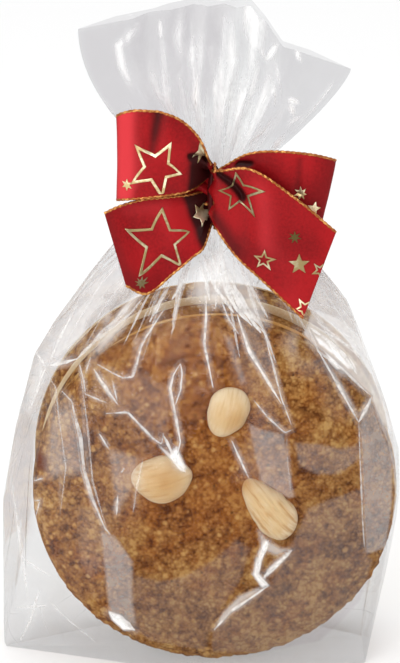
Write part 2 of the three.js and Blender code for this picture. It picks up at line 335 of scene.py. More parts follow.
def make_dough(name, size, finish):
    """A dome on a square grid bent into a disc: radius sin^(2/p) and rise cos^(2/p) of the way out, with
    lumps and grains moved along its normals, and its lower half drawn down to where the biscuit stands; one
    flat face closes its back."""
    span = np.linspace(-1, 1, size["grid"])
    a, b = np.meshgrid(span, span)
    way = np.maximum(np.abs(a), np.abs(b))
    wide = np.abs(a) > np.abs(b)
    large = np.where(wide, a, b)
    small = np.where(wide, b, a) / np.where(large == 0, 1, large)
    turn = np.where(wide, np.pi / 4 * small, np.pi / 2 - np.pi / 4 * small) + np.where(large < 0, np.pi, 0)
    out = np.clip(np.sin(way * np.pi / 2), 0, 1) ** (2 / DOME_POWER)
    rise = np.clip(np.cos(way * np.pi / 2), 0, 1) ** (2 / DOME_POWER)
    wave = loop_noise(turn, DOUGH_WAVE_LOOP, 0.0, DOUGH_WAVE_SIZE, size["seed"])
    radius = size["dough"] * (1 + DOUGH_WAVE * wave)
    sag = np.where(np.sin(turn) < 0, (size["z"] - DOUGH_STANDS_AT) / size["dough"], 1)
    x = size["x"] + radius * out * np.cos(turn)
    z = size["z"] + radius * out * sag * np.sin(turn)
    places = np.stack([x, size["back"] - WAFER_THICK - DOUGH_RISE * rise, z], axis=-1)
    relief = np.full(way.shape, -DOUGH_SINKS)
    for high, across, step in LUMPS:
        relief += high * lattice_noise(places, across, size["seed"] + step)
    for high, across, reach, step in GRAINS:
        relief += high * (reach - grain_distance(places, across, size["seed"] + step))
    lean = out ** (DOME_POWER - 1) / radius
    normal = [lean * np.cos(turn), -rise ** (DOME_POWER - 1) / DOUGH_RISE, lean * np.sin(turn)]
    places += unit(np.stack(normal, axis=-1)) * np.where(way < 1, relief, 0)[..., None]
    shape = way.shape
    faces = grid_faces(*shape).tolist() + [grid_rim(*shape).tolist()]
    make_piece(f"lebkuchen_{name}", places.reshape(-1, 3), faces, finish, "lebkuchen")


def dough_finish():
    """Brown crumb: slow noise and two sizes of grains, light in their middles and dark between them as
    painted shade in the gaps, on a ramp from dark red-brown to pale ochre; redder in some places and in
    patches, with painted shade over the top of the front biscuit, one dark red spot at the rim, soft nut
    pieces and dark specks."""
    finish, shader, place = new_finish("nut_dough", {"Specular IOR Level": 0.08})
    patches = place.noise(60, 2, 0.6)
    lumps = place.noise(300, 1, 0.5)
    crumb = place.noise(1600, 1, 0.5)
    stir = place.node("ShaderNodeVectorMath", {"operation": "MULTIPLY_ADD"},
                      {0: place.noise(900, 1, 0.5, out=1), 1: GRAIN_STIR, 2: place})
    grain, grain_pick = stir.cells(560)
    fine, fine_pick = stir.cells(1150)
    # The grain terms make the middles of grains lighter and the gaps between them darker, as painted shade
    tone = (patches * 0.30 + lumps * 0.26 + (1.05 - grain) * 0.12 + (1.05 - fine) * 0.10 + crumb * 0.08
            + fine_pick * 0.09 + grain_pick * 0.05)
    colour = place.node("ShaderNodeValToRGB", {"stops": DOUGH_TONES}, {"Fac": tone})
    # Redder spots and patches; the second spot darkens the top of the front biscuit as painted shade
    spots = [(1 - place.gap(spot).step(near, far)) * strong for spot, near, far, strong in RUST_AND_SHADE_SPOTS]
    rust_and_shade = sum(spots[1:], spots[0]) + place.noise(140, 3, 0.6).step(0.45, 0.65) * 0.6
    colour = rust_and_shade.blend(colour, RUST_TINT, "MULTIPLY")
    # A dark red spot at the left rim
    dark_spot = 1 - (place.gap(DARK_SPOT_PLACE) + lumps * 0.006).step(0.005, 0.008)
    colour = dark_spot.blend(colour, DARK_SPOT_RED)
    nuts = grain_pick.step(0.88, 0.94) * (1 - grain.step(0.2, 0.6))
    colour = (nuts * 0.65).blend(colour, NUT_PALE)
    specks = (1 - grain_pick.step(0.04, 0.08)) * (1 - grain.step(0.1, 0.4))
    colour = (specks * 0.7).blend(colour, SPICE_DARK)
    vary(shader, colour, 0.62 + 0.25 * lumps, (0 - grain - fine * 0.6 + crumb * 0.4).bump(0.6, 0.4))
    return finish


dough_look = dough_finish()
for name, size in BISCUITS.items():
    make_dough(name, size, dough_look)


# Almonds
# Three whole blanched almonds, ivory with fine lengthwise lines, pressed halfway into the front biscuit
# before baking. Each has a round end and a blunt pointed tip.
# Middle in x and z, length, lean of the length, how strong its lines are, its toasted spot about the middle
# and that spot's reach, and its outline about the middle
ALMONDS = {
    "top": {"x": 4.2, "z": 84.1, "length": 15.5, "lean": -105, "lines": 0.45, "spot": (2.0, -1.6, 3.8),
            "outline": [(-4.6, 5.2), (-0.8, 7.3), (4.2, 6.2), (6.2, 2.2), (5.2, -1.8), (1.6, -6.2),
                        (-2.0, -7.9), (-4.6, -7.0), (-6.3, -2.0), (-5.8, 1.8)]},
    "left": {"x": -15.5, "z": 62.7, "length": 18.4, "lean": 15, "lines": 0.7, "spot": (0.6, 0.4, 6.5),
             "outline": [(-9.3, 1.2), (-7.6, 4.4), (-3.5, 6.6), (1.0, 7.8), (5.0, 6.0), (9.1, 2.4),
                         (7.6, -2.0), (3.9, -5.8), (-1.1, -7.0), (-5.6, -4.6)]},
    "right": {"x": 16.6, "z": 53.4, "length": 23.8, "lean": 129, "lines": 1.2, "spot": (-7.4, 8.4, 3.2),
              "outline": [(-6.7, 10.5), (-8.5, 8.0), (-7.4, 2.6), (-6.1, -0.7), (-4.2, -4.0), (-0.2, -8.4),
                          (3.6, -9.6), (7.0, -6.8), (8.1, -2.2), (4.6, 3.2), (0.4, 6.5), (-3.4, 8.9)]},
}
ALMOND_HALF_THICK = 4.4
ALMOND_PROUD = 0.3
ALMOND_RINGS = 70
ALMOND_AROUND = 110
ALMOND_ROUNDING = 8
ALMOND_DENTS = 0.05
ALMOND_DENT_SIZE = 5
ALMOND_SEED = 71
ALMOND_GROOVES = 0.02
ALMOND_IVORY = (0.80, 0.57, 0.30, 1)
ALMOND_TAN = (0.60, 0.32, 0.11, 1)
ALMOND_PALE = (0.90, 0.74, 0.49, 1)
ALMOND_TOAST = (0.62, 0.33, 0.10, 1)
ALMOND_GLOW = (0.002, 0.001, 0.0005)


def dome(out):
    """Height of the dough, as a share of its rise, at a share of the way out to its rim."""
    return (1 - out ** DOME_POWER) ** (1 / DOME_POWER)


def almond_reach(outline, turn):
    """Distance from an almond's middle to its outline in each direction, rounded by a running mean."""
    x, z = np.array(outline).T
    degrees = circle(360)
    reach = np.interp(degrees, np.arctan2(z, x), np.hypot(x, z), period=2 * np.pi)
    steps = range(-ALMOND_ROUNDING, ALMOND_ROUNDING + 1)
    reach = sum(np.roll(reach, step) for step in steps) / len(steps)
    return np.interp(turn, degrees, reach, period=2 * np.pi)


def make_almond(name, size, finish):
    """Rings from its front to its back: the outline times the sine of the way, and the thickness times the
    cosine, with dents from noise and shallow grooves along its length."""
    way = np.pi * (np.arange(ALMOND_RINGS) + 0.5) / ALMOND_RINGS
    turn = circle(ALMOND_AROUND)
    reach = almond_reach(size["outline"], turn)
    u = np.outer(np.sin(way), reach * np.cos(turn))
    v = np.outer(np.sin(way), reach * np.sin(turn))
    w = np.outer(np.cos(way), np.full(ALMOND_AROUND, ALMOND_HALF_THICK))
    lean = math.radians(size["lean"])
    along = u * math.cos(lean) + v * math.sin(lean)
    across = v * math.cos(lean) - u * math.sin(lean)
    dents = 1 + ALMOND_DENTS * lattice_noise(np.stack([u, w, v], axis=-1), ALMOND_DENT_SIZE, ALMOND_SEED)
    grooves = 1 + ALMOND_GROOVES * size["lines"] * np.sin(5 * across + np.sin(along * 0.4))
    x, z = size["x"], size["z"]
    front = BISCUITS["front"]
    out = np.hypot(x - front["x"], z - front["z"]) / front["dough"]
    y = front["back"] - WAFER_THICK - DOUGH_RISE * dome(out) - ALMOND_PROUD
    rings = np.stack([x + u, y - w * dents * grooves, z + v], axis=-1)
    places, faces = lathe([x, y - ALMOND_HALF_THICK, z], rings, [x, y + ALMOND_HALF_THICK, z])
    skin = np.stack([along, across], axis=-1).reshape(-1, 2) / size["length"]
    uv = np.pad(skin, ((1, 1), (0, 0))) + 0.5
    spot_x, spot_z, spot_reach = size["spot"]
    gap = np.hypot(places[:, 0] - x - spot_x, places[:, 2] - z - spot_z)
    rim = np.clip(np.sin(way) * 2.4 - 1.4, 0, 1).repeat(ALMOND_AROUND)
    marks = {"lines": np.full(len(places), size["lines"]), "rim": np.pad(rim, 1),
             "spot": np.exp(-(gap / spot_reach) ** 2)}
    make_piece(f"almond_{name}", places, faces, finish, "almond", uv=uv, marks=marks)


def almond_finish():
    """Ivory skin, paler round its edge and toasted in one spot, with tan streaks along the length."""
    constants = {"Specular IOR Level": 0.35, "Subsurface Weight": 0.12, "Subsurface Radius": ALMOND_GLOW}
    finish, shader, along = new_finish("blanched_almond", constants, "UV")
    place = along.node("ShaderNodeTexCoord", out="Object")
    streaks = along.noise(1.0, 4, 0.6, (2.2, 17, 1))
    patches = place.noise(190, 3, 0.5)
    colour = (patches.step(0.45, 0.65) * 0.5).blend(ALMOND_IVORY, ALMOND_PALE)
    colour = (place.mark("rim") * (0.4 + patches)).blend(colour, ALMOND_PALE)
    colour = (place.mark("spot") * (0.2 + patches)).blend(colour, ALMOND_TOAST)
    colour = (streaks.step(0.47, 0.66) * place.mark("lines") * 0.75).blend(colour, ALMOND_TAN)
    vary(shader, colour, 0.42 + 0.2 * streaks, (streaks + patches * 0.4).bump(0.5, 0.25))
    return finish


almond_look = almond_finish()
for name, size in ALMONDS.items():
    make_almond(name, size, almond_look)


# Film bag, from its bottom to the neck
# A gift bag of clear stiff film, drawn tight round the stack and gathered at the neck. It stands off the
# biscuit where the almonds hold it out and keeps sharp creases between them. Some panels are greyed as if
# the film lay in two layers there, and panels and creases carry painted reflections and highlights in white.
FILM_CLEARANCE = 0.6
BISCUIT_PITCH = 14.5
STACK_HALF_DEPTH = 21.75
# An almond holds the film out this far, in a ring of this share of its length, at this many places
ALMOND_STANDS_OUT = 4.6
ALMOND_HOLDS = 0.17
ALMOND_HELD_AT = 6
# The stack holds the film in rings round its middle: shares of the radius in front, and one at the back
HULL_RADIUS = 55.6
HULL_CENTRE = 55.0
HULL_RINGS = [0.35, 0.6, 0.78, 0.9, 0.97, 1.0]
HULL_BACK_RING = 0.985
HULL_AROUND = 40
# Points on the film's side folds in x and z, and round its bottom in x and y
LEFT_FOLD = [(-65, 0), (-64.5, 31), (-64.5, 48), (-60.1, 71.7), (-53.9, 95.2), (-47.8, 105.6), (-38.1, 118.7),
             (-30, 130.4)]
RIGHT_FOLD = [(52.6, 25.2), (55.9, 52), (55.9, 64.3), (49.4, 85.1), (45, 96), (39.7, 111.5), (32, 123)]
BOTTOM = [(-22, -14.5), (46, -13), (46, 8), (20, 21.7), (-24, 21.7)]
FILM_WIDTH = 60.45
NECK_RADIUS = 6.0
NECK_AROUND = 16
NECK_BOTTOM = 143.0
NECK_TOP = 147.0
FILM_FRONT_COLUMNS = 330
FILM_BACK_COLUMNS = 70
FILM_ROWS = 240
PLEATS = 46
PLEATS_TAKE_IN = 0.42
PLEATS_GROW = 1.3
PLEATS_SEED = 6
# Their crests sway by this angle, in waves of this length over 2 pi
PLEATS_SWAY = 0.12
PLEATS_SWAY_LENGTH = 9
# The pleats start between this height and so much above it, at this many uneven places round the film
PLEATS_START = 108
PLEATS_START_RANGE = 24
PLEATS_START_PLACES = 22
PLEATS_START_SEED = 5
# Creases on the front: points in x and z, height, width to the left and right of the way they run, half width
# of the line painted white along the top as a highlight, and how white it is painted
CREASES = [
    ([(6.5, 112.5), (10, 102.5), (19.5, 87)], 0.9, 1.0, 1.0, 0.5, 0.95),
    ([(11, 110.5), (14.5, 107), (17, 98), (19.5, 88.5), (22.5, 80.5)], 0.6, 0.8, 0.8, 0.3, 0.6),
    ([(-2.5, 118.5), (-2.5, 111.5), (-3, 104.5), (-0.5, 92.5)], 0.8, 1.0, 1.0, 0.4, 0.75),
    ([(2, 116.5), (4, 111.5), (7, 107)], 0.5, 0.8, 0.8, 0.3, 0.6),
    ([(-10, 98.5), (-12, 95.5), (-13, 91.5), (-12, 87), (-10, 76.5), (-11, 72.5)], 0.9, 0.9, 0.9, 0.4, 0.8),
    ([(-10, 98.5), (-9.5, 96), (-10, 91), (-11.5, 87)], 0.6, 0.7, 0.7, 0.3, 0.7),
    ([(-15, 78), (-12, 72.5), (-11, 69.5), (-8.5, 67.5)], 0.8, 1.0, 1.0, 0.6, 0.8),
    ([(-21, 71), (-23, 61.5), (-24, 54)], 0.5, 0.8, 0.8, 0.3, 0.35),
    ([(30.5, 100.5), (37, 89.5), (42.5, 79.5)], 0.9, 1.0, 1.0, 0.45, 0.8),
    ([(42.5, 79.5), (46.5, 85.5)], 0.8, 0.8, 0.8, 0.6, 0.95),
    ([(42.5, 79.5), (43, 68.5), (44, 49.5), (45, 38)], 1.2, 1.0, 8.0, 0.3, 0.5),
    ([(27, 108), (30.5, 100.5), (37.5, 95), (46.5, 85.5)], 0.7, 1.0, 1.0, 0.5, 0.6),
    ([(27.5, 108.5), (32, 105.5), (40.5, 100), (47.5, 89)], 0.6, 0.8, 0.8, 0.4, 0.7),
    ([(29, 109), (36, 103.5), (43, 96.5)], 0.5, 0.8, 0.8, 0.4, 0.7),
    ([(33, 108), (41, 101.5), (47, 92)], 0.5, 0.8, 0.8, 0.3, 0.6),
    ([(36, 108.5), (45, 99)], 0.4, 0.8, 0.8, 0.3, 0.5),
    ([(31, 113), (38, 109.5), (44, 103)], 0.4, 0.8, 0.8, 0.3, 0.5),
    ([(28, 107), (32.5, 103.5), (36, 99.5)], 0.5, 0.8, 0.8, 0.6, 0.95),
    ([(33, 103.5), (38, 98.5), (42, 92.5)], 0.5, 0.8, 0.8, 0.6, 0.95),
    ([(16, 45.5), (13.5, 40), (12.5, 34), (16, 29.5)], 1.3, 1.2, 1.2, 0.45, 0.95),
    ([(23, 42), (18.5, 37), (14.5, 32.5)], 0.9, 1.0, 1.0, 0.6, 0.9),
    ([(16, 29.5), (4.5, 20.5), (0, 14)], 1.0, 4.0, 1.0, 0.45, 0.85),
    ([(-45, 87.5), (-42, 85.5), (-41, 81), (-39.5, 75.5), (-38.5, 66), (-36.5, 58.5), (-32.5, 48),
      (-31, 46)], 1.4, 6.0, 1.2, 0.7, 0.65),
    ([(-49.5, 93), (-40.5, 97)], 0.9, 1.0, 1.0, 0.55, 0.9),
    ([(-49.5, 93), (-45.5, 102), (-41, 110.5)], 0.6, 1.0, 1.0, 0.45, 0.9),
    ([(-50, 92.5), (-51, 90.5), (-55, 79)], 0.6, 1.0, 1.0, 0.45, 0.9),
    ([(-53.5, 96), (-50, 92.5)], 0.5, 1.0, 1.0, 0.4, 0.9),
    ([(-40, 96), (-38.5, 91.5), (-38, 87.5)], 0.4, 0.8, 0.8, 0.3, 0.5),
    ([(-36.5, 98), (-38, 93.5)], 0.4, 0.8, 0.8, 0.3, 0.5),
    ([(-35.5, 95), (-28.5, 86)], 0.9, 0.9, 0.9, 0.45, 0.9),
    ([(-30, 92.5), (-28.5, 86.5)], 0.4, 0.8, 0.8, 0.3, 0.6),
    ([(-34.5, 96.5), (-27, 93.5), (-24, 94), (-23, 97), (-21.5, 102.5), (-20, 105.5), (-16, 111.5),
      (-14.5, 113.5)], 0.7, 1.0, 1.0, 0.35, 0.65),
    ([(-38, 88), (-31.5, 86)], 0.4, 0.8, 0.8, 0.3, 0.5),
    ([(-32, 83), (-25.5, 84), (-18, 77), (-15.5, 75.5), (-15, 78.5)], 0.9, 7.0, 1.0, 0.4, 0.65),
    ([(-23, 116), (-29, 109), (-35.5, 102.5), (-40.5, 97)], 0.9, 1.5, 1.5, 0.9, 0.5),
    ([(-20.5, 116.5), (-24.5, 111.5), (-31, 106)], 0.6, 1.0, 1.0, 0.4, 0.5),
    ([(5, 77), (10, 65.5)], 0.7, 0.8, 0.8, 0.35, 0.75),
    ([(11.5, 88.5), (15.5, 83.5), (20.5, 78.5), (22.5, 79)], 0.5, 0.8, 0.8, 0.3, 0.6),
    ([(21, 77), (21.5, 68.5), (22.5, 59.5)], 1.0, 0.8, 6.0, 0.2, 0.3),
    ([(-54, 96), (-47, 88), (-44, 66), (-46, 50)], 1.4, 1.0, 4.0, 0.25, 0.35),
    ([(-34, 77), (-31, 72.5)], 0.4, 0.7, 0.7, 0.25, 0.7),
    ([(-28.5, 59), (-29, 52.5)], 0.4, 0.7, 0.7, 0.35, 0.75),
    ([(-26.5, 67.5), (-27.5, 66)], 0.3, 0.7, 0.7, 0.3, 0.6),
    ([(-54, 59.5), (-50.5, 61.5)], 0.3, 0.7, 0.7, 0.25, 0.5),
    ([(-54.5, 53), (-52, 54), (-53.5, 48)], 0.3, 0.7, 0.7, 0.25, 0.5),
    ([(-58, 33), (-49.5, 29)], 0.4, 0.8, 0.8, 0.3, 0.45),
    ([(-60.5, 15), (-51, 18)], 0.4, 0.8, 0.8, 0.3, 0.45),
    ([(-31.5, 18.5), (-28, 17), (-24, 13)], 1.0, 1.5, 1.5, 1.0, 0.95),
    ([(-3, 128.5), (-1, 124), (0.5, 119)], 0.5, 0.8, 0.8, 1.0, 0.9),
    ([(-4.5, 127), (-2.5, 122), (-1.5, 116.5)], 0.5, 0.8, 0.8, 0.7, 0.8),
    ([(-1, 130.5), (0.5, 125), (2, 120.5)], 0.5, 0.8, 0.8, 0.7, 0.85),
    ([(2.5, 127), (4, 121), (7.5, 115), (13.5, 107)], 0.6, 0.8, 0.8, 0.9, 0.9),
    ([(1, 127), (3, 120.5), (6, 114.5), (11, 109)], 0.5, 0.8, 0.8, 0.8, 0.85),
    ([(4, 125), (6, 119.5), (9.5, 114), (14, 108)], 0.5, 0.8, 0.8, 0.8, 0.85),
    ([(0, 120.5), (2, 118), (5.5, 113)], 0.5, 0.8, 0.8, 0.6, 0.7),
    ([(-7, 126.5), (-10, 120), (-12.5, 116)], 0.5, 0.8, 0.8, 0.6, 0.6),
    ([(-13, 120), (-16, 115.5), (-19, 109.5)], 0.5, 0.8, 0.8, 0.7, 0.5),
    ([(7.5, 125), (11, 119), (15.5, 111)], 0.5, 0.8, 0.8, 0.6, 0.6),
    ([(-39.5, 93.5), (-38, 83.5), (-37, 74.5), (-36, 62.5), (-32, 48)], 0.6, 1.0, 1.0, 0.35, 0.35),
    ([(-61, 56), (-58.5, 38), (-56.5, 18.5)], 0.3, 0.8, 0.8, 0.35, 0.45),
    ([(-53, 23), (-56, 11.5), (-59.5, 3)], 0.3, 0.8, 0.8, 0.4, 0.5),
    ([(-50, 20), (-44, 13.5), (-36, 7)], 0.3, 0.8, 0.8, 0.3, 0.25),
]
# Panels on the front: outline in x and z, greying as if in two layers, whiteness of its painted reflections
# and highlights, and its soft edge
PANELS = [
    ([(-66, 42), (-66, 64), (-60, 76), (-54, 72), (-55, 42)], 0.4, 0, 3.0),
    ([(10, 82), (13.5, 80), (20, 78), (21.5, 67.5), (23.5, 59), (21.5, 59), (13.5, 64.5),
      (11.5, 73.5)], 1, 0.17, 0.8),
    ([(42, 78), (43.5, 68), (44, 49.5), (45, 38), (46, 37.5), (51.5, 38.5), (53, 53), (53, 67),
      (48.5, 78.5), (46.5, 84.5)], 1, 0.2, 0.8),
    ([(23.5, 75), (30.5, 74), (37, 72), (42, 73), (42.5, 69), (36.5, 64.5), (30.5, 65),
      (25, 68)], 1, 0.08, 1.0),
    ([(-30.5, 26.5), (-23, 32), (-16, 30.5), (-9, 32.5), (-0.5, 38), (6.5, 45.5), (10.5, 42.5),
      (7.5, 31.5), (-0.5, 16), (-3, 6), (-19.5, 9.5), (-31, 19.5)], 1, 0.045, 1.0),
    ([(16.5, 29.5), (20, 38), (22.5, 42.5), (27.5, 55), (36.5, 57.5), (43, 59.5), (45, 38), (47.5, 35),
      (44, 22), (32, 9), (14, 5), (-0.5, 5.5), (-0.5, 13.5), (4.5, 20.5)], 1, 0.06, 1.0),
    ([(-48, 79), (-45, 85), (-42.5, 85.5), (-39, 74.5), (-38, 64.5), (-49.5, 61.5),
      (-50.5, 69.5)], 0.2, 0.17, 4.0),
    ([(-36, 94), (-27, 93.5), (-22, 95.5), (-14.5, 92), (-12.5, 88), (-14.5, 76.5), (-18, 77),
      (-25.5, 84), (-31.5, 83.5), (-36.5, 88)], 0.2, 0.06, 2.0),
    ([(-31.5, 73), (-22, 71), (-23.5, 62.5), (-28.5, 53.5), (-30.5, 64.5)], 0.2, 0.14, 2.5),
    ([(-34, 47), (-29.5, 45.5), (-24.5, 37), (-24.5, 23.5), (-23.5, 14.5), (-31.5, 18.5),
      (-32.5, 30)], 1, 0.2, 1.0),
    ([(-54.5, 59.5), (-46.5, 63), (-38.5, 65), (-36.5, 58), (-32.5, 47), (-32, 37), (-30.5, 26.5),
      (-34.5, 22.5), (-42, 24.5), (-49, 34.5), (-53, 47)], 0, 0.025, 2.0),
    ([(6.5, 112.5), (11, 110.5), (17, 98), (19.5, 87.5), (10, 102.5)], 0.5, 0.10, 0.8),
    ([(26, 105.5), (30.5, 100.5), (38.5, 93.5), (46, 86), (50, 76), (54, 80), (50, 92), (44, 101),
      (37, 108), (29, 112)], 0, 0.4, 1.0),
    ([(29, 112), (37, 108), (44, 101), (50, 92), (56, 90), (50, 110), (38, 128), (28, 120)], 0, 0.2, 3.0),
    ([(-16, 74.5), (-13, 72.5), (-11, 75), (-10, 72), (-8.5, 68.5), (-9.5, 67.5),
      (-11.5, 70)], 0, 0.8, 1.2),
    ([(-7, 117), (-6, 124), (-3, 127.5), (3, 130), (9, 123), (14, 114.5), (15.5, 109), (10.5, 111),
      (6, 116.5), (-2, 114.5)], 0, 0.4, 4.0),
    ([(-25.5, 115), (-20, 118), (-27, 106.5), (-34, 99.5), (-36, 99.5), (-31, 107)], 0, 0.35, 2.0),
    ([(-36, 128), (-31.5, 122.5), (-40.5, 109.5), (-48.5, 94.5), (-54, 76.5), (-57, 78.5), (-54, 92.5),
      (-47, 109)], 0, 0.22, 3.0),
    ([(14.8, 46), (16, 44.5), (13.6, 38.5), (12.7, 34), (15.8, 30), (14.2, 28.8), (11.4, 33.5),
      (12.3, 38.5)], 0, 0.85, 0.8),
    ([(22.5, 42), (17.5, 35), (14.5, 32), (16, 35.5)], 0, 0.85, 0.8),
    ([(16, 29.5), (7.5, 23.5), (-0.5, 13.5), (2.5, 20), (7.5, 26), (12.5, 28.5)], 0, 0.35, 1.0),
    ([(13, 49), (15, 46), (19.5, 42.5), (22.5, 42), (18.5, 40), (14, 42.5)], 0, 0.35, 1.5),
    ([(-31.5, 19), (-28, 18), (-24, 13), (-27.5, 12.5), (-31, 16)], 0, 0.90, 0.8),
    ([(-50.5, 78), (-39.5, 87.5), (-28, 91.5), (-20, 88), (-15, 82.5), (-15, 72.5), (-18, 68),
      (-24, 51.5), (-31, 37), (-40.5, 22), (-49.5, 34.5), (-52.5, 57)], 0, 0.03, 8.0),
    ([(-41.5, 54), (-31, 55.5), (-30.5, 35.5), (-37.5, 29.5), (-41.5, 36)], 0, 0.07, 4.0),
    ([(2, 108.5), (14, 103.5), (20.5, 79), (14, 65), (6, 65), (9.5, 77), (10.5, 88.5),
      (6, 93)], 0, 0.05, 4.0),
    ([(2.5, 107), (5, 106.5), (9.5, 93.5), (7.5, 93)], 0.6, 0.14, 1.5),
    ([(26.5, 101), (38.5, 93), (40.5, 80), (34, 81), (28.5, 93)], 0, 0.03, 4.0),
    ([(-38.5, 115.5), (-35.5, 121.5), (-31.5, 125), (-28.5, 126.5), (-25.5, 120), (-26.5, 116.5),
      (-31.5, 115), (-35.5, 112)], 0, 0.3, 3.0),
    ([(-49, 94), (-46, 96), (-38.5, 103), (-37.5, 107.5), (-34, 111.5), (-30, 114), (-35.5, 116),
      (-41.5, 109.5), (-46, 102)], 0.3, 0.3, 2.0),
    ([(28, 106), (37.5, 100), (42, 92), (37, 93.5), (32, 99), (27.5, 103.5)], 0, 0.4, 3.0),
    ([(28.5, 105.5), (31.5, 103.5), (35.5, 99.5), (34.8, 98.8), (30.5, 102.2)], 0, 0.85, 1.0),
    ([(32.5, 103), (36.5, 99.5), (40.5, 94.5), (39.2, 94.2), (35.2, 98.4)], 0, 0.85, 1.0),
    ([(31.5, 100.8), (34.5, 98.2), (37, 94.8), (36, 94.8), (33, 97.8)], 0, 0.8, 1.0),
    ([(38.5, 99), (41.5, 95.2), (42.3, 92.5), (40.6, 94.6)], 0, 0.8, 1.0),
    ([(38.5, 97), (43.5, 94), (47.5, 85), (46, 85.5), (40.5, 91.5)], 1, 0.35, 1.5),
    ([(46, 86), (50, 76), (56, 68), (60, 70), (60, 92), (50, 108), (44, 101)], 0, 0.4, 3.0),
]
# The film beside each crease is painted white as a soft highlight, at this share of the crease's whiteness
CREASE_HIGHLIGHT = 0.4
# Streaks of painted sheen fan out down the back from this height: noise at so much to the radian, and this
# length
BACK_STREAKS_FROM = 150
BACK_STREAKS_FAN = 24
BACK_STREAKS_LENGTH = 9
BACK_STREAKS_SIZE = 2.0
BACK_STREAKS_LEVEL = 40
BACK_STREAKS_SEED = 31
BACK_SHEEN = 0.35
# Crumpled shoulders, patched with painted highlights and greyed as painted shade: the heights between which
# they begin and end, and how far out they start
SHOULDER_BEGINS = (92, 106)
SHOULDER_ENDS = (136, 128)
SHOULDER_OUT = (16, 26)
SHOULDER_HIGHLIGHT = 0.25
SHOULDER_PAINTED_SHADE = 0.45
SHOULDER_PATCH_SIZE = 4.5
SHOULDER_SEED = 33
# Film colours: seen through once, greyer for two layers and painted shade, and white for painted highlights
FILM_CLEAR = (0.86, 0.862, 0.866, 1)
FILM_DOUBLE_AND_SHADE = (0.745, 0.724, 0.742, 1)
FILM_HIGHLIGHT_WHITE = (0.95, 0.945, 0.935, 1)


def film_supports():
    """The places that hold the film out: rings on the stack, almond tops, side folds, bottom and neck."""
    front = -STACK_HALF_DEPTH + BISCUIT_PITCH - WAFER_THICK
    rise = BISCUIT_PITCH - WAFER_THICK + FILM_CLEARANCE
    levels = [(share, front - rise * dome(share)) for share in HULL_RINGS]
    levels += [(1.0, STACK_HALF_DEPTH), (HULL_BACK_RING, STACK_HALF_DEPTH + FILM_CLEARANCE)]
    rings = [(0, y, HULL_CENTRE, HULL_RADIUS * share, HULL_AROUND) for share, y in levels]
    for size in ALMONDS.values():
        out = np.hypot(size["x"], size["z"] - HULL_CENTRE) / HULL_CENTRE
        y = front - rise * dome(out) - ALMOND_STANDS_OUT
        rings.append((size["x"], y, size["z"], ALMOND_HOLDS * size["length"], ALMOND_HELD_AT))
    points = [(x, 0, z) for x, z in LEFT_FOLD + RIGHT_FOLD] + [(x, y, 0) for x, y in BOTTOM]
    for x, y, z, radius, count in rings:
        across, up = radius * np.cos(circle(count)), radius * np.sin(circle(count))
        points += np.stack([x + across, np.full(count, y), np.maximum(z + up, 0)], axis=-1).tolist()
    across, deep = NECK_RADIUS * np.cos(circle(NECK_AROUND)), NECK_RADIUS * np.sin(circle(NECK_AROUND))
    points += np.stack([across, deep, np.full(NECK_AROUND, NECK_BOTTOM)], axis=-1).tolist()
    return np.array(points)


def hull_planes(points):
    """Outward normals of the convex hull's faces, and how far each face is from the origin."""
    hull = bmesh.new()
    for point in points:
        hull.verts.new(point)
    bmesh.ops.convex_hull(hull, input=hull.verts)
    hull.normal_update()
    normals = np.array([face.normal for face in hull.faces])
    offsets = np.array([face.normal.dot(face.verts[0].co) for face in hull.faces])
    hull.free()
    flip = np.where(normals @ points.mean(axis=0) > offsets, -1.0, 1.0)
    return normals * flip[:, None], offsets * flip


def film_reach(planes, across, deep, z):
    """Distance from the upright axis to the tight film: the nearest hull plane in that direction."""
    reach = np.full(across.shape, np.inf)
    for normal, offset in zip(*planes):
        slope = normal[0] * across + normal[1] * deep
        ahead = slope > 1e-6
        distance = (offset - normal[2] * z) / np.where(ahead, slope, 1)
        reach = np.where(ahead, np.minimum(reach, distance), reach)
    return reach


def ramp(value, low, high):
    """0 at low and 1 at high, straight between."""
    return np.clip((value - low) / (high - low), 0, 1)


def to_line(x, z, start, end):
    """From places to a straight line: distance, share of the way along it, and which side they are on."""
    way = np.subtract(end, start)
    length = math.hypot(*way)
    way = way / length
    along = np.clip((x - start[0]) * way[0] + (z - start[1]) * way[1], 0, length)
    gap = np.hypot(x - start[0] - along * way[0], z - start[1] - along * way[1])
    return gap, along / length, way[0] * (z - start[1]) - way[1] * (x - start[0])


def ridge(x, z, points, height, left, right, taper=0.5):
    """A tent over a line of points: full height on the line, straight down to nothing at its widths,
    and tapered at both ends of the line by a power of the sine of the way along it."""
    lines = len(points) - 1
    nearest = np.full(x.shape, np.inf)
    share = np.zeros(x.shape)
    side = np.zeros(x.shape)
    for number in range(lines):
        gap, along, beside = to_line(x, z, points[number], points[number + 1])
        closer = gap < nearest
        nearest = np.where(closer, gap, nearest)
        share = np.where(closer, (number + along) / lines, share)
        side = np.where(closer, beside, side)
    tent = np.clip(1 - nearest / np.where(side > 0, left, right), 0, 1)
    return height * tent * np.sin(np.pi * np.clip(share, 0.04, 0.96)) ** taper


def panel(x, z, outline, edge):
    """1 inside an outline and 0 outside: a count of the sides crossed, softened by the distance to them."""
    within = np.zeros(x.shape, bool)
    nearest = np.full(x.shape, np.inf)
    for start, end in zip(outline, outline[1:] + outline[:1]):
        level = (start[1] > z) != (end[1] > z)
        rise = end[1] - start[1] or 1e-9
        within ^= level & (x < start[0] + (z - start[1]) * (end[0] - start[0]) / rise)
        nearest = np.minimum(nearest, to_line(x, z, start, end)[0])
    return np.clip(0.5 + np.where(within, nearest, -nearest) / edge, 0, 1)


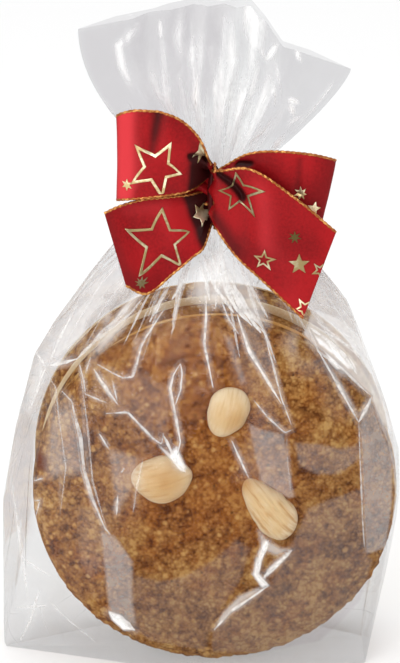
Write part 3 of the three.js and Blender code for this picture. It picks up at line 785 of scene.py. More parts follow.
def pleat_wave(turn, count, seed):
    """Sharp folds round the film: straight lines between crests at 0 and valleys of uneven depth."""
    draw = np.random.default_rng(seed)
    at = (np.arange(count) + draw.uniform(-0.35, 0.35, count)) / count * 2 * np.pi
    depth = np.where(np.arange(count) % 2, draw.uniform(0.35, 1.0, count), draw.uniform(0, 0.15, count))
    return np.interp(turn, at, depth, period=2 * np.pi)


def soften(field, times):
    """A field on a grid that runs round, averaged with its neighbours a number of times."""
    for _ in range(times):
        field = (np.roll(field, 1, axis=1) + 2 * field + np.roll(field, -1, axis=1)) / 4
        field[1:-1] = (field[:-2] + 2 * field[1:-1] + field[2:]) / 4
    return field


def film_body():
    """The hull's reach round the upright axis at each height, taken in by pleats towards the neck and raised
    by the creases in front. Gives the grid of places, how far the film is greyed at each, in the panels and
    as painted shade on the crumpled shoulders, and how white it is painted as highlight and reflection: in
    the panels, along the creases, in streaks of painted sheen down the back and in patches on the shoulders."""
    back = np.pi * np.arange(FILM_BACK_COLUMNS) / FILM_BACK_COLUMNS
    front = np.pi + np.pi * np.arange(FILM_FRONT_COLUMNS) / FILM_FRONT_COLUMNS
    turn, height = np.meshgrid(np.concatenate([back, front]), np.linspace(0, NECK_BOTTOM, FILM_ROWS))
    aim = unit(np.stack([FILM_WIDTH * np.cos(turn), STACK_HALF_DEPTH * np.sin(turn)], axis=-1))
    across, deep = aim[..., 0], aim[..., 1]
    reach = film_reach(hull_planes(film_supports()), across, deep, np.minimum(height, NECK_BOTTOM - 1))
    start = PLEATS_START + PLEATS_START_RANGE * pleat_wave(turn, PLEATS_START_PLACES, PLEATS_START_SEED)
    sway = PLEATS_SWAY * np.sin(height / PLEATS_SWAY_LENGTH)
    folds = pleat_wave(turn + sway, PLEATS, PLEATS_SEED)
    folds = folds * ramp(height, start, NECK_BOTTOM) ** PLEATS_GROW
    reach = soften(reach, 3) * (1 - PLEATS_TAKE_IN * folds)
    x = across * reach
    facing = np.clip(-deep * 14, 0, 1)
    raised = np.zeros(x.shape)
    double = np.zeros(x.shape)
    white = np.zeros(x.shape)
    for points, high, left, right, half, whiteness in CREASES:
        raised += ridge(x, height, points, high, left, right)
        beside = 0.8 + 2 * half
        white = np.maximum(white, facing * ridge(x, height, points, CREASE_HIGHLIGHT * whiteness, beside, beside))
    for outline, greying, whiteness, edge in PANELS:
        within = facing * panel(x, height, outline, edge)
        double = np.maximum(double, greying * within)
        white = np.maximum(white, whiteness * within)
    # Streaks of painted sheen down the back
    fan_out = np.arctan2(x, BACK_STREAKS_FROM - height) * BACK_STREAKS_FAN
    streaks = np.stack([fan_out, height / BACK_STREAKS_LENGTH, np.full(x.shape, BACK_STREAKS_LEVEL)], axis=-1)
    streaks = lattice_noise(streaks, BACK_STREAKS_SIZE, BACK_STREAKS_SEED)
    streaks = np.clip(streaks, 0, 1) * np.clip(deep * 5, 0, 1)
    white = np.maximum(white, BACK_SHEEN * streaks * streaks)
    shoulder = ramp(height, *SHOULDER_BEGINS) * ramp(height, *SHOULDER_ENDS) * ramp(np.abs(x), *SHOULDER_OUT)
    patches = np.stack([x, deep * 9, height * 0.7], axis=-1)
    patches = lattice_noise(patches, SHOULDER_PATCH_SIZE, SHOULDER_SEED)
    white = np.maximum(white, SHOULDER_HIGHLIGHT * shoulder * np.clip(1.8 * patches, 0, 1))
    double = np.maximum(double, SHOULDER_PAINTED_SHADE * shoulder * facing)
    reach = reach + np.clip(-deep * 6, 0, 1) * ramp(height, 1, 6) * raised
    return np.stack([across * reach, deep * reach, height], axis=-1), double, white


def make_film_bag(grid, double, white, finish):
    """The body's grid closed round the back, with a flat fan of faces under the stack."""
    rows, columns = white.shape
    rim = np.arange(columns)
    low = np.stack([np.full(columns, rows * columns), np.roll(rim, -1), rim], axis=-1)
    faces = grid_faces(rows, columns, ring=True)[:, ::-1].tolist() + low.tolist()
    places = np.vstack([grid.reshape(-1, 3), [[0, 0, 0]]])
    marks = {"double": np.append(double.ravel(), 0), "white": np.append(white.ravel(), 0)}
    piece = make_piece("film_bag", places, faces, finish, "film", closed=False, marks=marks)
    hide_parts("bag")


def mix_shaders(share, first, second):
    """The shader between two shaders at a share, which is a tone or a number."""
    return first.node("ShaderNodeMixShader", None, {0: share, 1: first, 2: second})


def show_shader(finish, shown):
    """Makes a shader the surface of a material."""
    shown.feed(finish.node_tree.nodes["Material Output"].inputs["Surface"], shown)


def film_finish():
    """Clear film: see-through with a mirror gloss that grows at a slant, greyer where it is marked greyed,
    and painted white in uneven patches, as highlights and reflections, where it is marked white."""
    constants = {"Base Color": FILM_HIGHLIGHT_WHITE, "Roughness": 0.35, "Specular IOR Level": 0.5}
    finish, shader, place = new_finish("clear_film", constants)
    normal = place.noise(90, 3, 0.55).bump(0.25, 1.2)
    once = place.node("ShaderNodeBsdfTransparent", None, {"Color": FILM_CLEAR})
    greyer = place.node("ShaderNodeBsdfTransparent", None, {"Color": FILM_DOUBLE_AND_SHADE})
    mirror = place.node("ShaderNodeBsdfGlossy", None,
                        {"Color": (1, 1, 1, 1), "Roughness": 0.05, "Normal": normal})
    painted_white = Tone(place.tree, shader.outputs[0])
    slant = place.node("ShaderNodeFresnel", None, {"IOR": 1.22, "Normal": normal})
    gloss = place.math("MINIMUM", place.math("MAXIMUM", slant * 2.2 - 0.015, 0.004), 0.3)
    uneven = place.mark("white") * (0.55 + 0.9 * place.noise(240, 4, 0.65))
    clear = mix_shaders(gloss, mix_shaders(place.mark("double"), once, greyer), mirror)
    show_shader(finish, mix_shaders(uneven, clear, painted_white))
    return finish


film_look = film_finish()
film_grid, film_double_and_shade, film_white = film_body()
make_film_bag(film_grid, film_double_and_shade, film_white, film_look)


# Creases of the film
# Each sharp bend of the stiff film is a thin raised ridge, painted white as a highlight so that it shows as a
# fine bright line. They are the film's own ridges: folds between the almonds, streaks down from the neck,
# and loose wrinkles.
CREASE_LIFT = 0.12
CREASE_THICK = 0.22
CREASE_STEP = 0.8
CREASE_SECTION = [(1, 0), (0, 1), (-1, 0), (0, -1)]
FRONT_SPAN = np.linspace(-66, 57, 400)
NECK_STREAKS = 70
LOOSE_CREASES = 70
BACK_CREASES = 26
LOOSE_SEED = 7


def surface_normals(places):
    """Unit normals of a grid of places, from the differences along its rows and columns."""
    return unit(np.cross(*np.gradient(places, axis=(0, 1))))


def run_length(path):
    """How far along a path each of its points is."""
    return np.concatenate([[0], np.cumsum(np.linalg.norm(np.diff(path, axis=0), axis=-1))])


def join(parts):
    """Parts, each of places, faces and values at its corners, stacked into one with faces counted on."""
    places, faces, *values = zip(*parts)
    starts = np.cumsum([0] + [len(part) for part in places]).tolist()
    joined = [[corner + start for corner in face] for start, part in zip(starts, faces) for face in part]
    return np.vstack(places), joined, *(np.concatenate(value) for value in values)


def on_sheet(grid, columns, rows):
    """Places on a grid of corners that runs round, at fractional columns and rows."""
    low = np.clip(np.floor(rows).astype(int), 0, grid.shape[0] - 2)
    left = np.floor(columns).astype(int)
    up = np.clip(rows - low, 0, 1)[..., None]
    side = (columns - left)[..., None]
    near = left % grid.shape[1]
    far = (left + 1) % grid.shape[1]
    below = grid[low, near] * (1 - side) + grid[low, far] * side
    above = grid[low + 1, near] * (1 - side) + grid[low + 1, far] * side
    return below * (1 - up) + above * up


def crease_line(grid, normals, columns, rows, half, white):
    """A thin oval carried along a line on a sheet: it swells and thins a little on its way, and runs out to a
    point at both ends. The UV map holds the way along it and how white its painted highlight is."""
    path = on_sheet(grid, columns, rows)
    out = on_sheet(normals, columns, rows)
    side = unit(np.cross(np.gradient(path, axis=0), out))
    share = np.linspace(0, 1, len(path))
    wide = half * np.sqrt(np.sin(np.pi * np.clip(share, 0.02, 0.98)))
    wide = wide * (0.8 + 0.2 * np.sin(share * 17 + half * 40))
    thick = np.minimum(wide, 1) * CREASE_THICK
    path = path + out * CREASE_LIFT
    rings = [path + side * (wide * c)[:, None] + out * (thick * s)[:, None] for c, s in CREASE_SECTION]
    places, faces = lathe(path[0], np.stack(rings, axis=1), path[-1])
    return places, faces, np.stack([np.linspace(0, 1, len(places)), np.full(len(places), white)], axis=-1)


def front_creases(grid):
    """The creases given on the front, as columns and rows of the bag's grid, in even steps along them."""
    front = FILM_BACK_COLUMNS + np.arange(FILM_FRONT_COLUMNS)
    column_at = np.array([np.interp(FRONT_SPAN, row[front, 0], front) for row in grid])[..., None]
    lines = []
    for points, *_, half, white in CREASES:
        x, z = np.array(points, float).T
        length = run_length(np.array(points, float))
        steps = np.linspace(0, length[-1], max(6, int(length[-1] / CREASE_STEP)))
        rows = np.interp(steps, length, z) / NECK_BOTTOM * (FILM_ROWS - 1)
        at = (np.interp(steps, length, x) - FRONT_SPAN[0]) / (FRONT_SPAN[1] - FRONT_SPAN[0])
        lines.append((on_sheet(column_at, at, rows)[..., 0], rows, half, white))
    return lines


def loose_creases(grid):
    """At seeded random places: streaks down from the neck, short wrinkles over the back and sides, and folds
    that spread down the back."""
    draw = np.random.default_rng(LOOSE_SEED)
    rows, columns = grid.shape[:2]
    lines = []
    for _ in range(NECK_STREAKS):
        high = draw.uniform(0.9, 0.99) * rows
        low = draw.uniform(0.68, 0.86) * rows
        across = draw.uniform(0, columns) + np.linspace(0, draw.normal(0, 5), 9)
        lines.append((across, np.linspace(high, low, 9), draw.uniform(0.25, 0.9), draw.uniform(0.15, 0.6)))
    share = np.linspace(-1, 1, 8)
    for _ in range(LOOSE_CREASES):
        column = draw.uniform(-0.1, 0.32) * columns
        row = draw.uniform(0.03, 0.9) * rows
        lean = draw.normal(math.pi / 2, 0.7)
        half = draw.uniform(3, 14)
        across = column + share * half * math.cos(lean) * 1.6
        up = np.clip(row + share * half * math.sin(lean), 2, rows - 2)
        lines.append((across, up, draw.uniform(0.1, 0.25), draw.uniform(0.05, 0.3)))
    middle = FILM_BACK_COLUMNS / 2
    spread = 1 + np.linspace(0, 0.3, 9)
    for _ in range(BACK_CREASES):
        column = draw.uniform(0.02, 0.16) * columns
        high = draw.uniform(0.3, 0.8) * rows
        low = high - draw.uniform(12, 60)
        across = middle + (column - middle) * spread + np.sin(np.linspace(0, 3, 9)) * draw.normal(0, 0.6)
        up = np.clip(np.linspace(high, low, 9), 3, rows)
        lines.append((across, up, draw.uniform(0.2, 0.45), draw.uniform(0.3, 0.9)))
    return lines


def make_creases(name, grid, lines, finish):
    """All crease lines of one sheet in one mesh, on the sheet's outer side."""
    normals = -surface_normals(grid)
    places, faces, uv = join([crease_line(grid, normals, *line) for line in lines])
    piece = make_piece(name, places, faces, finish, "film", uv=uv, flat=True)
    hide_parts("bag")


def crease_finish(name, from_behind):
    """A painted highlight on a fold: white and glossy where it is strong, with breaks along the line from
    fine noise, and this share of its light from behind."""
    constants = {"Base Color": FILM_HIGHLIGHT_WHITE, "Roughness": 0.25, "Specular IOR Level": 0.6}
    finish, shader, line = new_finish(name, constants, "UV")
    place = line.node("ShaderNodeTexCoord", out="Object")
    white = line.node("ShaderNodeSeparateXYZ", None, {"Vector": line}, 1)
    share = white * (0.3 + 0.5 * place.noise(420, 3, 0.6).step(0.3, 0.65))
    clear = line.node("ShaderNodeBsdfTransparent", None, {"Color": (1, 1, 1, 1)})
    through = line.node("ShaderNodeBsdfTranslucent", None, {"Color": FILM_HIGHLIGHT_WHITE})
    painted_white = mix_shaders(from_behind, Tone(line.tree, shader.outputs[0]), through)
    show_shader(finish, mix_shaders(share, clear, painted_white))
    return finish


make_creases("film_creases", film_grid, front_creases(film_grid) + loose_creases(film_grid),
             crease_finish("film_crease", 0.45))


# Film fan above the neck
# The open end of the same film bag, let out above the tie as a fan of sharp pleats with a straight cut edge.
# The front and back sheets spread apart, and the corners on both sides stay flat.
MOUTH = [(-39.5, 193.9), (-13.8, 200.7), (-3.7, 202.1), (10.4, 201.5), (14.7, 196.8), (19.7, 189.8),
         (27.2, 186.8), (39.5, 182.1)]
FAN_END = 39.5
FAN_SPREAD_LEFT = 2.0
FAN_SPREAD_RIGHT = 1.3
# Depth of the pleats across the front and the back sheet, open from half way up
FAN_FRONT = [(-1, 0), (-0.6, -5.5), (-0.5, -2.2), (-0.36, -6.4), (-0.2, -2.6), (-0.1, -7.2), (0.02, -2.2),
             (0.13, -7.6), (0.2, -3.2), (0.29, -7.8), (0.37, -2.8), (0.48, -6), (0.6, -3.2), (1, 0)]
FAN_BACK = [(-1, 0), (-0.72, 4.2), (-0.46, 1.4), (-0.22, 6), (0, 1.6), (0.24, 6.4), (0.48, 2), (0.72, 5),
            (1, 0)]
FAN_OPEN_AT = 0.5
FAN_COLUMNS = 540
FAN_ROWS = 120
FAN_CRUMPLES = 70
FAN_CRUMPLE_FROM = 135
# Random streaks painted white as highlights up the front sheet
FAN_HIGHLIGHT_STREAKS = 34
FAN_STREAKS = 30
FAN_SEED = 17
FAN_STREAKS_SEED = 19
# Seed of the noise that makes the painted white uneven
FAN_SHEEN_SEED = 35
# Folds on the front sheet, dented in and painted white as highlights: points as shares across and up the fan,
# half width in mm, and how white
FAN_CREASES = [
    ([(-0.56, 0.95), (-0.71, 0.86), (-0.72, 0.75), (-0.69, 0.6)], 1.25, 0.55),
    ([(-0.56, 0.7), (-0.51, 0.56), (-0.38, 0.5)], 3.0, 0.4),
    ([(-0.4, 0.95), (-0.4, 0.86)], 0.6, 0.7),
    ([(-0.24, 0.96), (-0.27, 0.84), (-0.25, 0.7), (-0.21, 0.6)], 1.8, 0.42),
    ([(-0.19, 0.79), (-0.2, 0.73), (-0.21, 0.66)], 1.5, 1.0),
    ([(-0.14, 0.63), (-0.18, 0.52), (-0.18, 0.44)], 1.2, 0.85),
    ([(-0.1, 0.47), (-0.11, 0.34)], 1.4, 0.5),
    ([(0.05, 0.97), (0.12, 0.82), (0.16, 0.7), (0.14, 0.55)], 2.6, 0.5),
    ([(0, 0.76), (0.05, 0.62), (0.01, 0.54), (0.06, 0.43), (0.15, 0.36), (0.16, 0.22)], 2.2, 0.85),
    ([(0.28, 0.84), (0.35, 0.71), (0.35, 0.61), (0.3, 0.54), (0.31, 0.46), (0.32, 0.31),
      (0.37, 0.2)], 1.5, 1.0),
    ([(0.41, 0.63), (0.34, 0.54)], 0.9, 0.8),
    ([(0.36, 0.73), (0.43, 0.6)], 0.8, 0.35),
    ([(0.46, 0.97), (0.41, 0.8)], 0.7, 0.9),
    ([(0.36, 0.85), (0.41, 0.8)], 0.6, 0.6),
    ([(0.46, 0.88), (0.53, 0.78), (0.6, 0.68)], 0.8, 0.35),
    ([(0.51, 0.73), (0.55, 0.67), (0.59, 0.6)], 1.2, 0.95),
    ([(0.48, 0.66), (0.47, 0.58)], 0.8, 0.6),
    ([(0.62, 0.52), (0.6, 0.42), (0.5, 0.32)], 1.2, 1.0),
    ([(0.6, 1.0), (0.65, 0.93)], 0.8, 0.95),
    ([(0.67, 0.67), (0.77, 0.66)], 0.9, 0.8),
    ([(0.72, 0.64), (0.81, 0.57)], 0.9, 0.8),
    ([(0.83, 0.51), (0.88, 0.58)], 0.9, 0.8),
    ([(0.91, 0.31), (0.88, 0.4)], 1.0, 0.8),
    ([(0.93, 0.86), (0.93, 0.48)], 0.9, 0.5),
]
# A fold up to this half width also has a fine core, painted white as a highlight
FAN_CORE_UP_TO = 1.2
# Panels on the front sheet: outline as shares across and up, greying as if in two layers, whiteness of
# their painted highlight, and soft edge
FAN_PANELS = [
    ([(0, 0.58), (0.21, 0.58), (0.23, 0.47), (0.18, 0.36), (0.05, 0.37), (-0.02, 0.46)], 0, 0.55, 0.1),
    ([(0.17, 0.99), (0.26, 1.02), (0.36, 1.0), (0.37, 0.85), (0.31, 0.8), (0.25, 0.82),
      (0.19, 0.91)], 0, 0.6, 0.07),
    ([(-0.6, 0.02), (-0.5, 0.2), (0.1, 0.3), (0.6, 0.25), (0.7, 0.02)], 0, 0.3, 0.12),
    ([(-1, 0.3), (-1, 1), (0.14, 1), (-0.02, 0.5), (-0.6, 0.3)], 0.42, 0, 0.1),
    ([(0.42, 0.62), (0.38, 1), (1, 1), (1, 0.4), (0.6, 0.3)], 0.22, 0, 0.1),
]


def fan_place(across, up):
    """Shares across and up the fan to x and z: spread by a power of the way up, below the mouth's edge."""
    power = np.where(across < 0, FAN_SPREAD_LEFT, FAN_SPREAD_RIGHT)
    spread = NECK_RADIUS + (FAN_END - NECK_RADIUS) * (1 - (1 - up) ** power)
    top = np.interp(across * FAN_END, *np.array(MOUTH).T)
    return spread * across, NECK_TOP + (top - NECK_TOP) * up


def film_fan():
    """From the pleated neck ring to the mouth's outline, with the fan's own pleats blended in over the lower
    half, crumpled by small random ridges. Gives the grid, how far the film is greyed, and how white it is
    painted
    as highlight: in the panels, along the folds, in random painted streaks up the front, and, as painted
    light and shade, by which way the sheet leans."""
    turn, up = np.meshgrid(circle(FAN_COLUMNS), np.linspace(0, 1, FAN_ROWS))
    front = np.where(turn > np.pi, 1.0, 0.0)
    across = np.cos(turn)
    x, z = fan_place(across, up)
    drift = across + 0.05 * np.sin(5 * up + 3 * across) * (1 - across ** 2)
    deep = np.where(front, np.interp(drift, *np.array(FAN_FRONT).T), np.interp(drift, *np.array(FAN_BACK).T))
    ring = NECK_RADIUS * np.sin(turn) * (1 - PLEATS_TAKE_IN * pleat_wave(turn, PLEATS, PLEATS_SEED))
    opened = np.clip(up / FAN_OPEN_AT, 0, 1) ** 0.8
    crumple = np.zeros(x.shape)
    draw = np.random.default_rng(FAN_SEED)
    for _ in range(FAN_CRUMPLES):
        at = np.array([draw.uniform(-30, 32), draw.uniform(150, 196)])
        lean = math.atan2(at[1] - FAN_CRUMPLE_FROM, at[0]) + draw.normal(0, 0.5)
        half = draw.uniform(2, 9) * np.array([math.cos(lean), math.sin(lean)])
        crumple += ridge(x, z, [at - half, at + half], draw.uniform(-0.7, 0.7), *draw.uniform(0.6, 3, 2))
    y = ring * (1 - opened) + deep * opened + crumple * np.clip(up * 4, 0, 1)
    double = np.zeros(x.shape)
    white = np.zeros(x.shape)
    for outline, greying, whiteness, edge in FAN_PANELS:
        within = panel(across, up, outline, edge)
        double = np.maximum(double, greying * within)
        white = np.maximum(white, front * whiteness * within)
    for points, half, whiteness in FAN_CREASES:
        line = np.stack(fan_place(*np.array(points).T), axis=-1)
        white = np.maximum(white, front * ridge(x, z, line, 0.95 * whiteness, 1.4 * half, 1.4 * half))
        y = y - front * ridge(x, z, line, 0.25 * half, 1.5 * half, 1.5 * half)
    for _ in range(FAN_HIGHLIGHT_STREAKS):
        at = draw.uniform(-0.45, 0.7) + draw.normal(0, 0.03, 3)
        rise = np.array([draw.uniform(0.02, 0.25), 0.5, draw.uniform(0.65, 1)])
        line = np.stack(fan_place(at, rise), axis=-1)
        half = draw.uniform(0.6, 3.0)
        white = np.maximum(white, front * ridge(x, z, line, draw.uniform(0.15, 0.5), half, half, 1.0))
    streaks = np.stack([across * 30, up * 4 + across * 3, across * 0], axis=-1)
    streaks = lattice_noise(streaks, 1.0, FAN_SHEEN_SEED)
    white = white * np.clip(0.8 + 0.8 * streaks, 0.2, 1.1)
    # Painted light and shade: sheet leaning one way is greyed as shade, the other way whitened as highlight
    lean = np.gradient(y, axis=1) / (np.abs(np.gradient(x, axis=1)) + 0.08)
    lean = soften(np.clip(lean, -1, 1), 4) * np.where(front, 1.0, -0.5)
    double = np.clip(double + 0.2 * np.clip(lean, 0, 1), 0, 1)
    white = np.clip(white + 0.1 * np.clip(-lean, 0, 1), 0, 0.9)
    return np.stack([x, y, z], axis=-1), double, white


def fan_creases():
    """The fine core of each narrow fold on the front sheet, painted white as a highlight, and seeded streaks
    that run up from the neck all round."""
    lines = []
    for points, half, white in FAN_CREASES:
        if half <= FAN_CORE_UP_TO:
            steps = np.linspace(0, len(points) - 1, 8 * len(points))
            across, up = (np.interp(steps, np.arange(len(points)), shares) for shares in np.array(points).T)
            columns = (1 - np.arccos(across) / (2 * np.pi)) * FAN_COLUMNS
            lines.append((columns, up * (FAN_ROWS - 1), 0.3 * half, white))
    draw = np.random.default_rng(FAN_STREAKS_SEED)
    for _ in range(FAN_STREAKS):
        columns = (draw.uniform(0, 1) + np.linspace(0, draw.normal(0, 0.014), 9)) * FAN_COLUMNS
        rows = np.linspace(draw.uniform(0.01, 0.15), draw.uniform(0.25, 0.65), 9) * (FAN_ROWS - 1)
        lines.append((columns, rows, draw.uniform(0.1, 0.3), draw.uniform(0.2, 0.6)))
    return lines


fan_grid, fan_double_and_shade, fan_white = film_fan()
fan_faces = grid_faces(FAN_ROWS, FAN_COLUMNS, ring=True)[:, ::-1].tolist()
film_mouth = make_piece("film_mouth", fan_grid.reshape(-1, 3), fan_faces, film_look, "film", closed=False,
                        marks={"double": fan_double_and_shade.ravel(), "white": fan_white.ravel()})
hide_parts("bag")
make_creases("mouth_creases", fan_grid, fan_creases(), crease_finish("mouth_crease", 0.85))


# Gold wire tie
# Two turns of thin twisted gold wire: one draws the film together at the neck, and one pinches the middle of
# the ribbon and holds the bow against the neck.
WIRE_RADIUS = 0.5
WIRE_PITCH = 0.8
WIRE_STEPS = 300
WIRE_AROUND = 10
NECK_TURN = {"centre": (0, 0, 145), "half": (6.9, 6.9), "upright": False}
BOW_TURN = {"centre": (0, -11.2, 147), "half": (3.2, 9.7), "upright": True}
STRAND_ROUND = 0.84
# Gold colours: deep orange, and pale gold painted as glints
GOLD_DEEP = (0.30, 0.085, 0.015, 1)
GOLD_BRIGHT = (0.66, 0.32, 0.09, 1)


def twisted_cord(path, side, wide, thick, pitch, around, ring):
    """A cord along a path: an oval section, as wide as given along side and as thick across it, with two
    strands whose lobes turn round it once in every two pitches."""
    run = np.gradient(path, axis=0)
    if ring:
        run = np.roll(path, -1, axis=0) - np.roll(path, 1, axis=0)
    run = unit(run)
    side = unit(side - run * np.sum(side * run, axis=-1, keepdims=True))
    rise = np.cross(run, side)
    turn = circle(around)
    twist = np.pi * run_length(path)[:, None] / pitch / 2
    lobes = STRAND_ROUND + (1 - STRAND_ROUND) * np.cos(2 * (turn[None, :] - twist))
    flat = (wide * np.cos(turn) * lobes)[..., None] * side[:, None, :]
    tall = (thick * np.sin(turn) * lobes)[..., None] * rise[:, None, :]
    return path[:, None, :] + flat + tall


def wire_turn(size):
    """One turn of wire: a twisted cord round an ellipse, level or upright."""
    turn = circle(WIRE_STEPS)
    a = size["half"][0] * np.cos(turn)
    b = size["half"][1] * np.sin(turn)
    zero = np.zeros_like(a)
    way = np.stack([zero, a, b] if size["upright"] else [a, b, zero], axis=-1)
    axis = np.array([1.0, 0, 0] if size["upright"] else [0, 0, 1.0])
    cord = twisted_cord(way + size["centre"], np.tile(axis, (WIRE_STEPS, 1)), WIRE_RADIUS, WIRE_RADIUS,
                        WIRE_PITCH, WIRE_AROUND, True)
    closed = grid_faces(WIRE_STEPS + 1, WIRE_AROUND, ring=True) % (WIRE_STEPS * WIRE_AROUND)
    return cord.reshape(-1, 3), closed.tolist()


def gold_finish(name, deep, bright, metal, fleck):
    """Gold thread: deep orange and pale painted glints in random patches, from noise at the size of its
    stitches.
    """
    finish, shader, place = new_finish(name, {"Metallic": metal, "Specular IOR Level": 0.6})
    glint = place.noise(fleck, 3, 0.6)
    vary(shader, glint.step(0.44, 0.66).blend(deep, bright), 0.5 - 0.3 * glint, glint.bump(0.4, 0.2))
    return finish


thread_look = gold_finish("gold_thread", GOLD_DEEP, GOLD_BRIGHT, 0.75, 900)
gold_tie = make_piece("gold_tie", *join([wire_turn(NECK_TURN), wire_turn(BOW_TURN)]), thread_look, "gold")
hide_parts("tie")


# Ribbon bow
# One satin ribbon about 25 mm wide, red, with a fine weave across it. It is tied in two loops and two tails,
# and pleated together in the middle under the wire.
RIBBON_THICK = 0.36
RIBBON_WIDTH = 0.025
STRIP_ALONG = 150
STRIP_ACROSS = 44
# Which ends are pinched, rows of points on the upper and lower edge, length in mm, and soft folds: the line
# they follow as ways along and shares across, reach in mm, how far they stand out, and their painted tone:
# a painted highlight where above 0 and a painted shade where below
STRIPS = {
    "left_loop": {"pinched": (True, True), "rows": [
        ((-1, -10, 152), (-1, -10, 144)), ((-12, -12.5, 168), (-13, -11.5, 147)),
        ((-23, -13.5, 171.5), (-23, -12.5, 147)), ((-28.4, -17, 172.2), (-28.4, -16, 147.2)),
        ((-23, -20.5, 174.6), (-23, -19.5, 148.6)), ((-12, -21, 173.2), (-12, -20, 150)),
        ((-5.6, -18.8, 167.5), (-6.4, -18.2, 150.6)), ((-0.8, -15.2, 157.2), (-1, -9.2, 152))],
        "length": 66, "folds": [
            ((0.66, 0), (0.637, 0.47), 1.3, -0.9, -0.55), ((0.7, 0.1), (0.69, 0.5), 2.5, 0.5, 0.12),
            ((0.82, 0.45), (0.93, 0.3), 1.2, -1.5, -1.6), ((0.93, 0.3), (0.99, 0), 1.2, -1.5, -1.6),
            ((0.93, 0.62), (0.92, 1), 5.2, -1.5, -2.5), ((0.515, 0.05), (0.515, 0.9), 5, 0, 1.0),
            ((0.86, 0.2), (0.86, 0.9), 4, 0, -0.3), ((0.7, 0.95), (0.6, 0.95), 2.5, 0, -0.3),
            ((0.67, 0), (0.65, 0.2), 5, 0, -0.3)]},
    "left_tail": {"pinched": (True, False), "rows": [
        ((-1, -8.6, 148), (-1, -8.8, 139)), ((-8.6, -14.8, 148), (-3.8, -15.2, 132.2)),
        ((-12, -15.6, 148), (-6.5, -16.4, 130.2)), ((-21, -16, 147.2), (-12, -17.6, 125.5)),
        ((-28, -16.8, 145.2), (-20, -19.2, 119.8)), ((-31.9, -17, 143.4), (-25.8, -19.2, 122.3))],
        "length": 38, "folds": [
            ((0.75, 0.2), (0.75, 0.6), 3, -0.6, -0.1), ((0.5, 0.3), (0.5, 0.9), 3, 0.5, 0.15),
            ((0.04, 0), (0.02, 0.9), 6.5, 0, -2.2), ((1, 0), (0.97, 1), 6, 0, -0.45),
            ((0.8, 0.9), (0.55, 1), 5, 0, -0.25), ((0.75, 0.08), (0.5, 0.12), 3, 0, 0.3)]},
    "right_loop": {"pinched": (True, True), "rows": [
        ((1, -10, 152), (1, -10, 144)), ((8, -10.5, 156), (9, -10.5, 143)),
        ((28, -10.5, 158), (26, -10.5, 140.5)), ((34.3, -13.5, 158.4), (31.3, -13, 140.2)),
        ((27, -16.5, 160.9), (25, -16, 141)), ((10.4, -15.5, 160.8), (9, -14.8, 143)),
        ((1, -12.8, 155.2), (1, -12.5, 146))],
        "length": 75, "folds": [
            ((0.694, 0.1), (0.691, 0.6), 1, -0.7, -0.4), ((0.84, 0.17), (0.89, 0.11), 1.3, -0.8, -1.8)]},
    "right_tail": {"pinched": (True, False), "rows": [
        ((-0.9, -13.2, 155.2), (-0.9, -13.4, 139.8)), ((0.6, -16.6, 155.8), (0.5, -16.4, 138)),
        ((9.6, -19, 157), (5.5, -17.5, 131.6)), ((22.9, -20.5, 149), (12.8, -19, 124.8)),
        ((34.9, -20, 138.6), (25.6, -22, 113.2))],
        "length": 45, "folds": [
            ((0.27, 0.04), (0.485, 0.335), 1.4, -1.8, -1.8), ((0.6, 0.22), (0.7, 0.62), 4.2, 1.0, 0.4),
            ((0.5, 0.3), (0.58, 0.7), 3, -0.5, -0.25), ((0.2, 0.8), (0.5, 0.95), 5, -0.3, -0.65),
            ((0.85, 0.7), (0.93, 0.95), 5, 0.2, 0.15)]},
}
PLEAT_DEPTH = 1.0
PLEAT_REACH = 7.0
PLEATS_ACROSS = 4.5
RIBBON_WAVE = 0.5
KNOT = {"y": -11.2, "z": 147.0, "half": (2.2, 2.9, 9.3)}
KNOT_RINGS = 40
KNOT_AROUND = 90
KNOT_PLEATS = 9
KNOT_PLEAT_DEPTH = 0.16
# The knot's tone: painted shade all over
KNOT_SHADE = -0.8
# Satin colours: red and deep red at random, a nearly black painted shade, and a pink painted sheen
RIBBON_RED = (0.33, 0.0062, 0.009, 1)
RIBBON_DEEP = (0.18, 0.003, 0.0045, 1)
RIBBON_PAINTED_SHADE = (0.028, 0.003, 0.003, 1)
RIBBON_PAINTED_SHEEN = (0.56, 0.032, 0.04, 1)


def smooth_edge(points, way):
    """A curve through points: cubic spans whose slopes weigh the gaps beside them by the root of length."""
    points = np.array(points, float)
    whole = np.vstack([2 * points[0] - points[1], points, 2 * points[-1] - points[-2]])
    spans = len(points) - 1
    at = np.clip(way, 0, 1) * spans
    span = np.minimum(at.astype(int), spans - 1)
    t = (at - span)[..., None]
    p0, p1, p2, p3 = (whole[span + k] for k in range(4))
    pairs = ((p0, p1), (p1, p2), (p2, p3))
    d0, d1, d2 = (np.sqrt(np.linalg.norm(b - a, axis=-1, keepdims=True)) for a, b in pairs)
    leave = ((p1 - p0) / d0 - (p2 - p0) / (d0 + d1) + (p2 - p1) / d1) * d1
    arrive = ((p2 - p1) / d1 - (p3 - p1) / (d1 + d2) + (p3 - p2) / d2) * d1
    return ((2 * t ** 3 - 3 * t ** 2 + 1) * p1 + (t ** 3 - 2 * t ** 2 + t) * leave
            + (3 * t ** 2 - 2 * t ** 3) * p2 + (t ** 3 - t ** 2) * arrive)


def strip_flat(strip, way, across):
    """The strip before its pleats: straight across between its smooth upper and lower edge."""
    upper, lower = (smooth_edge(edge, way) for edge in zip(*strip["rows"]))
    return upper + (lower - upper) * across[..., None]


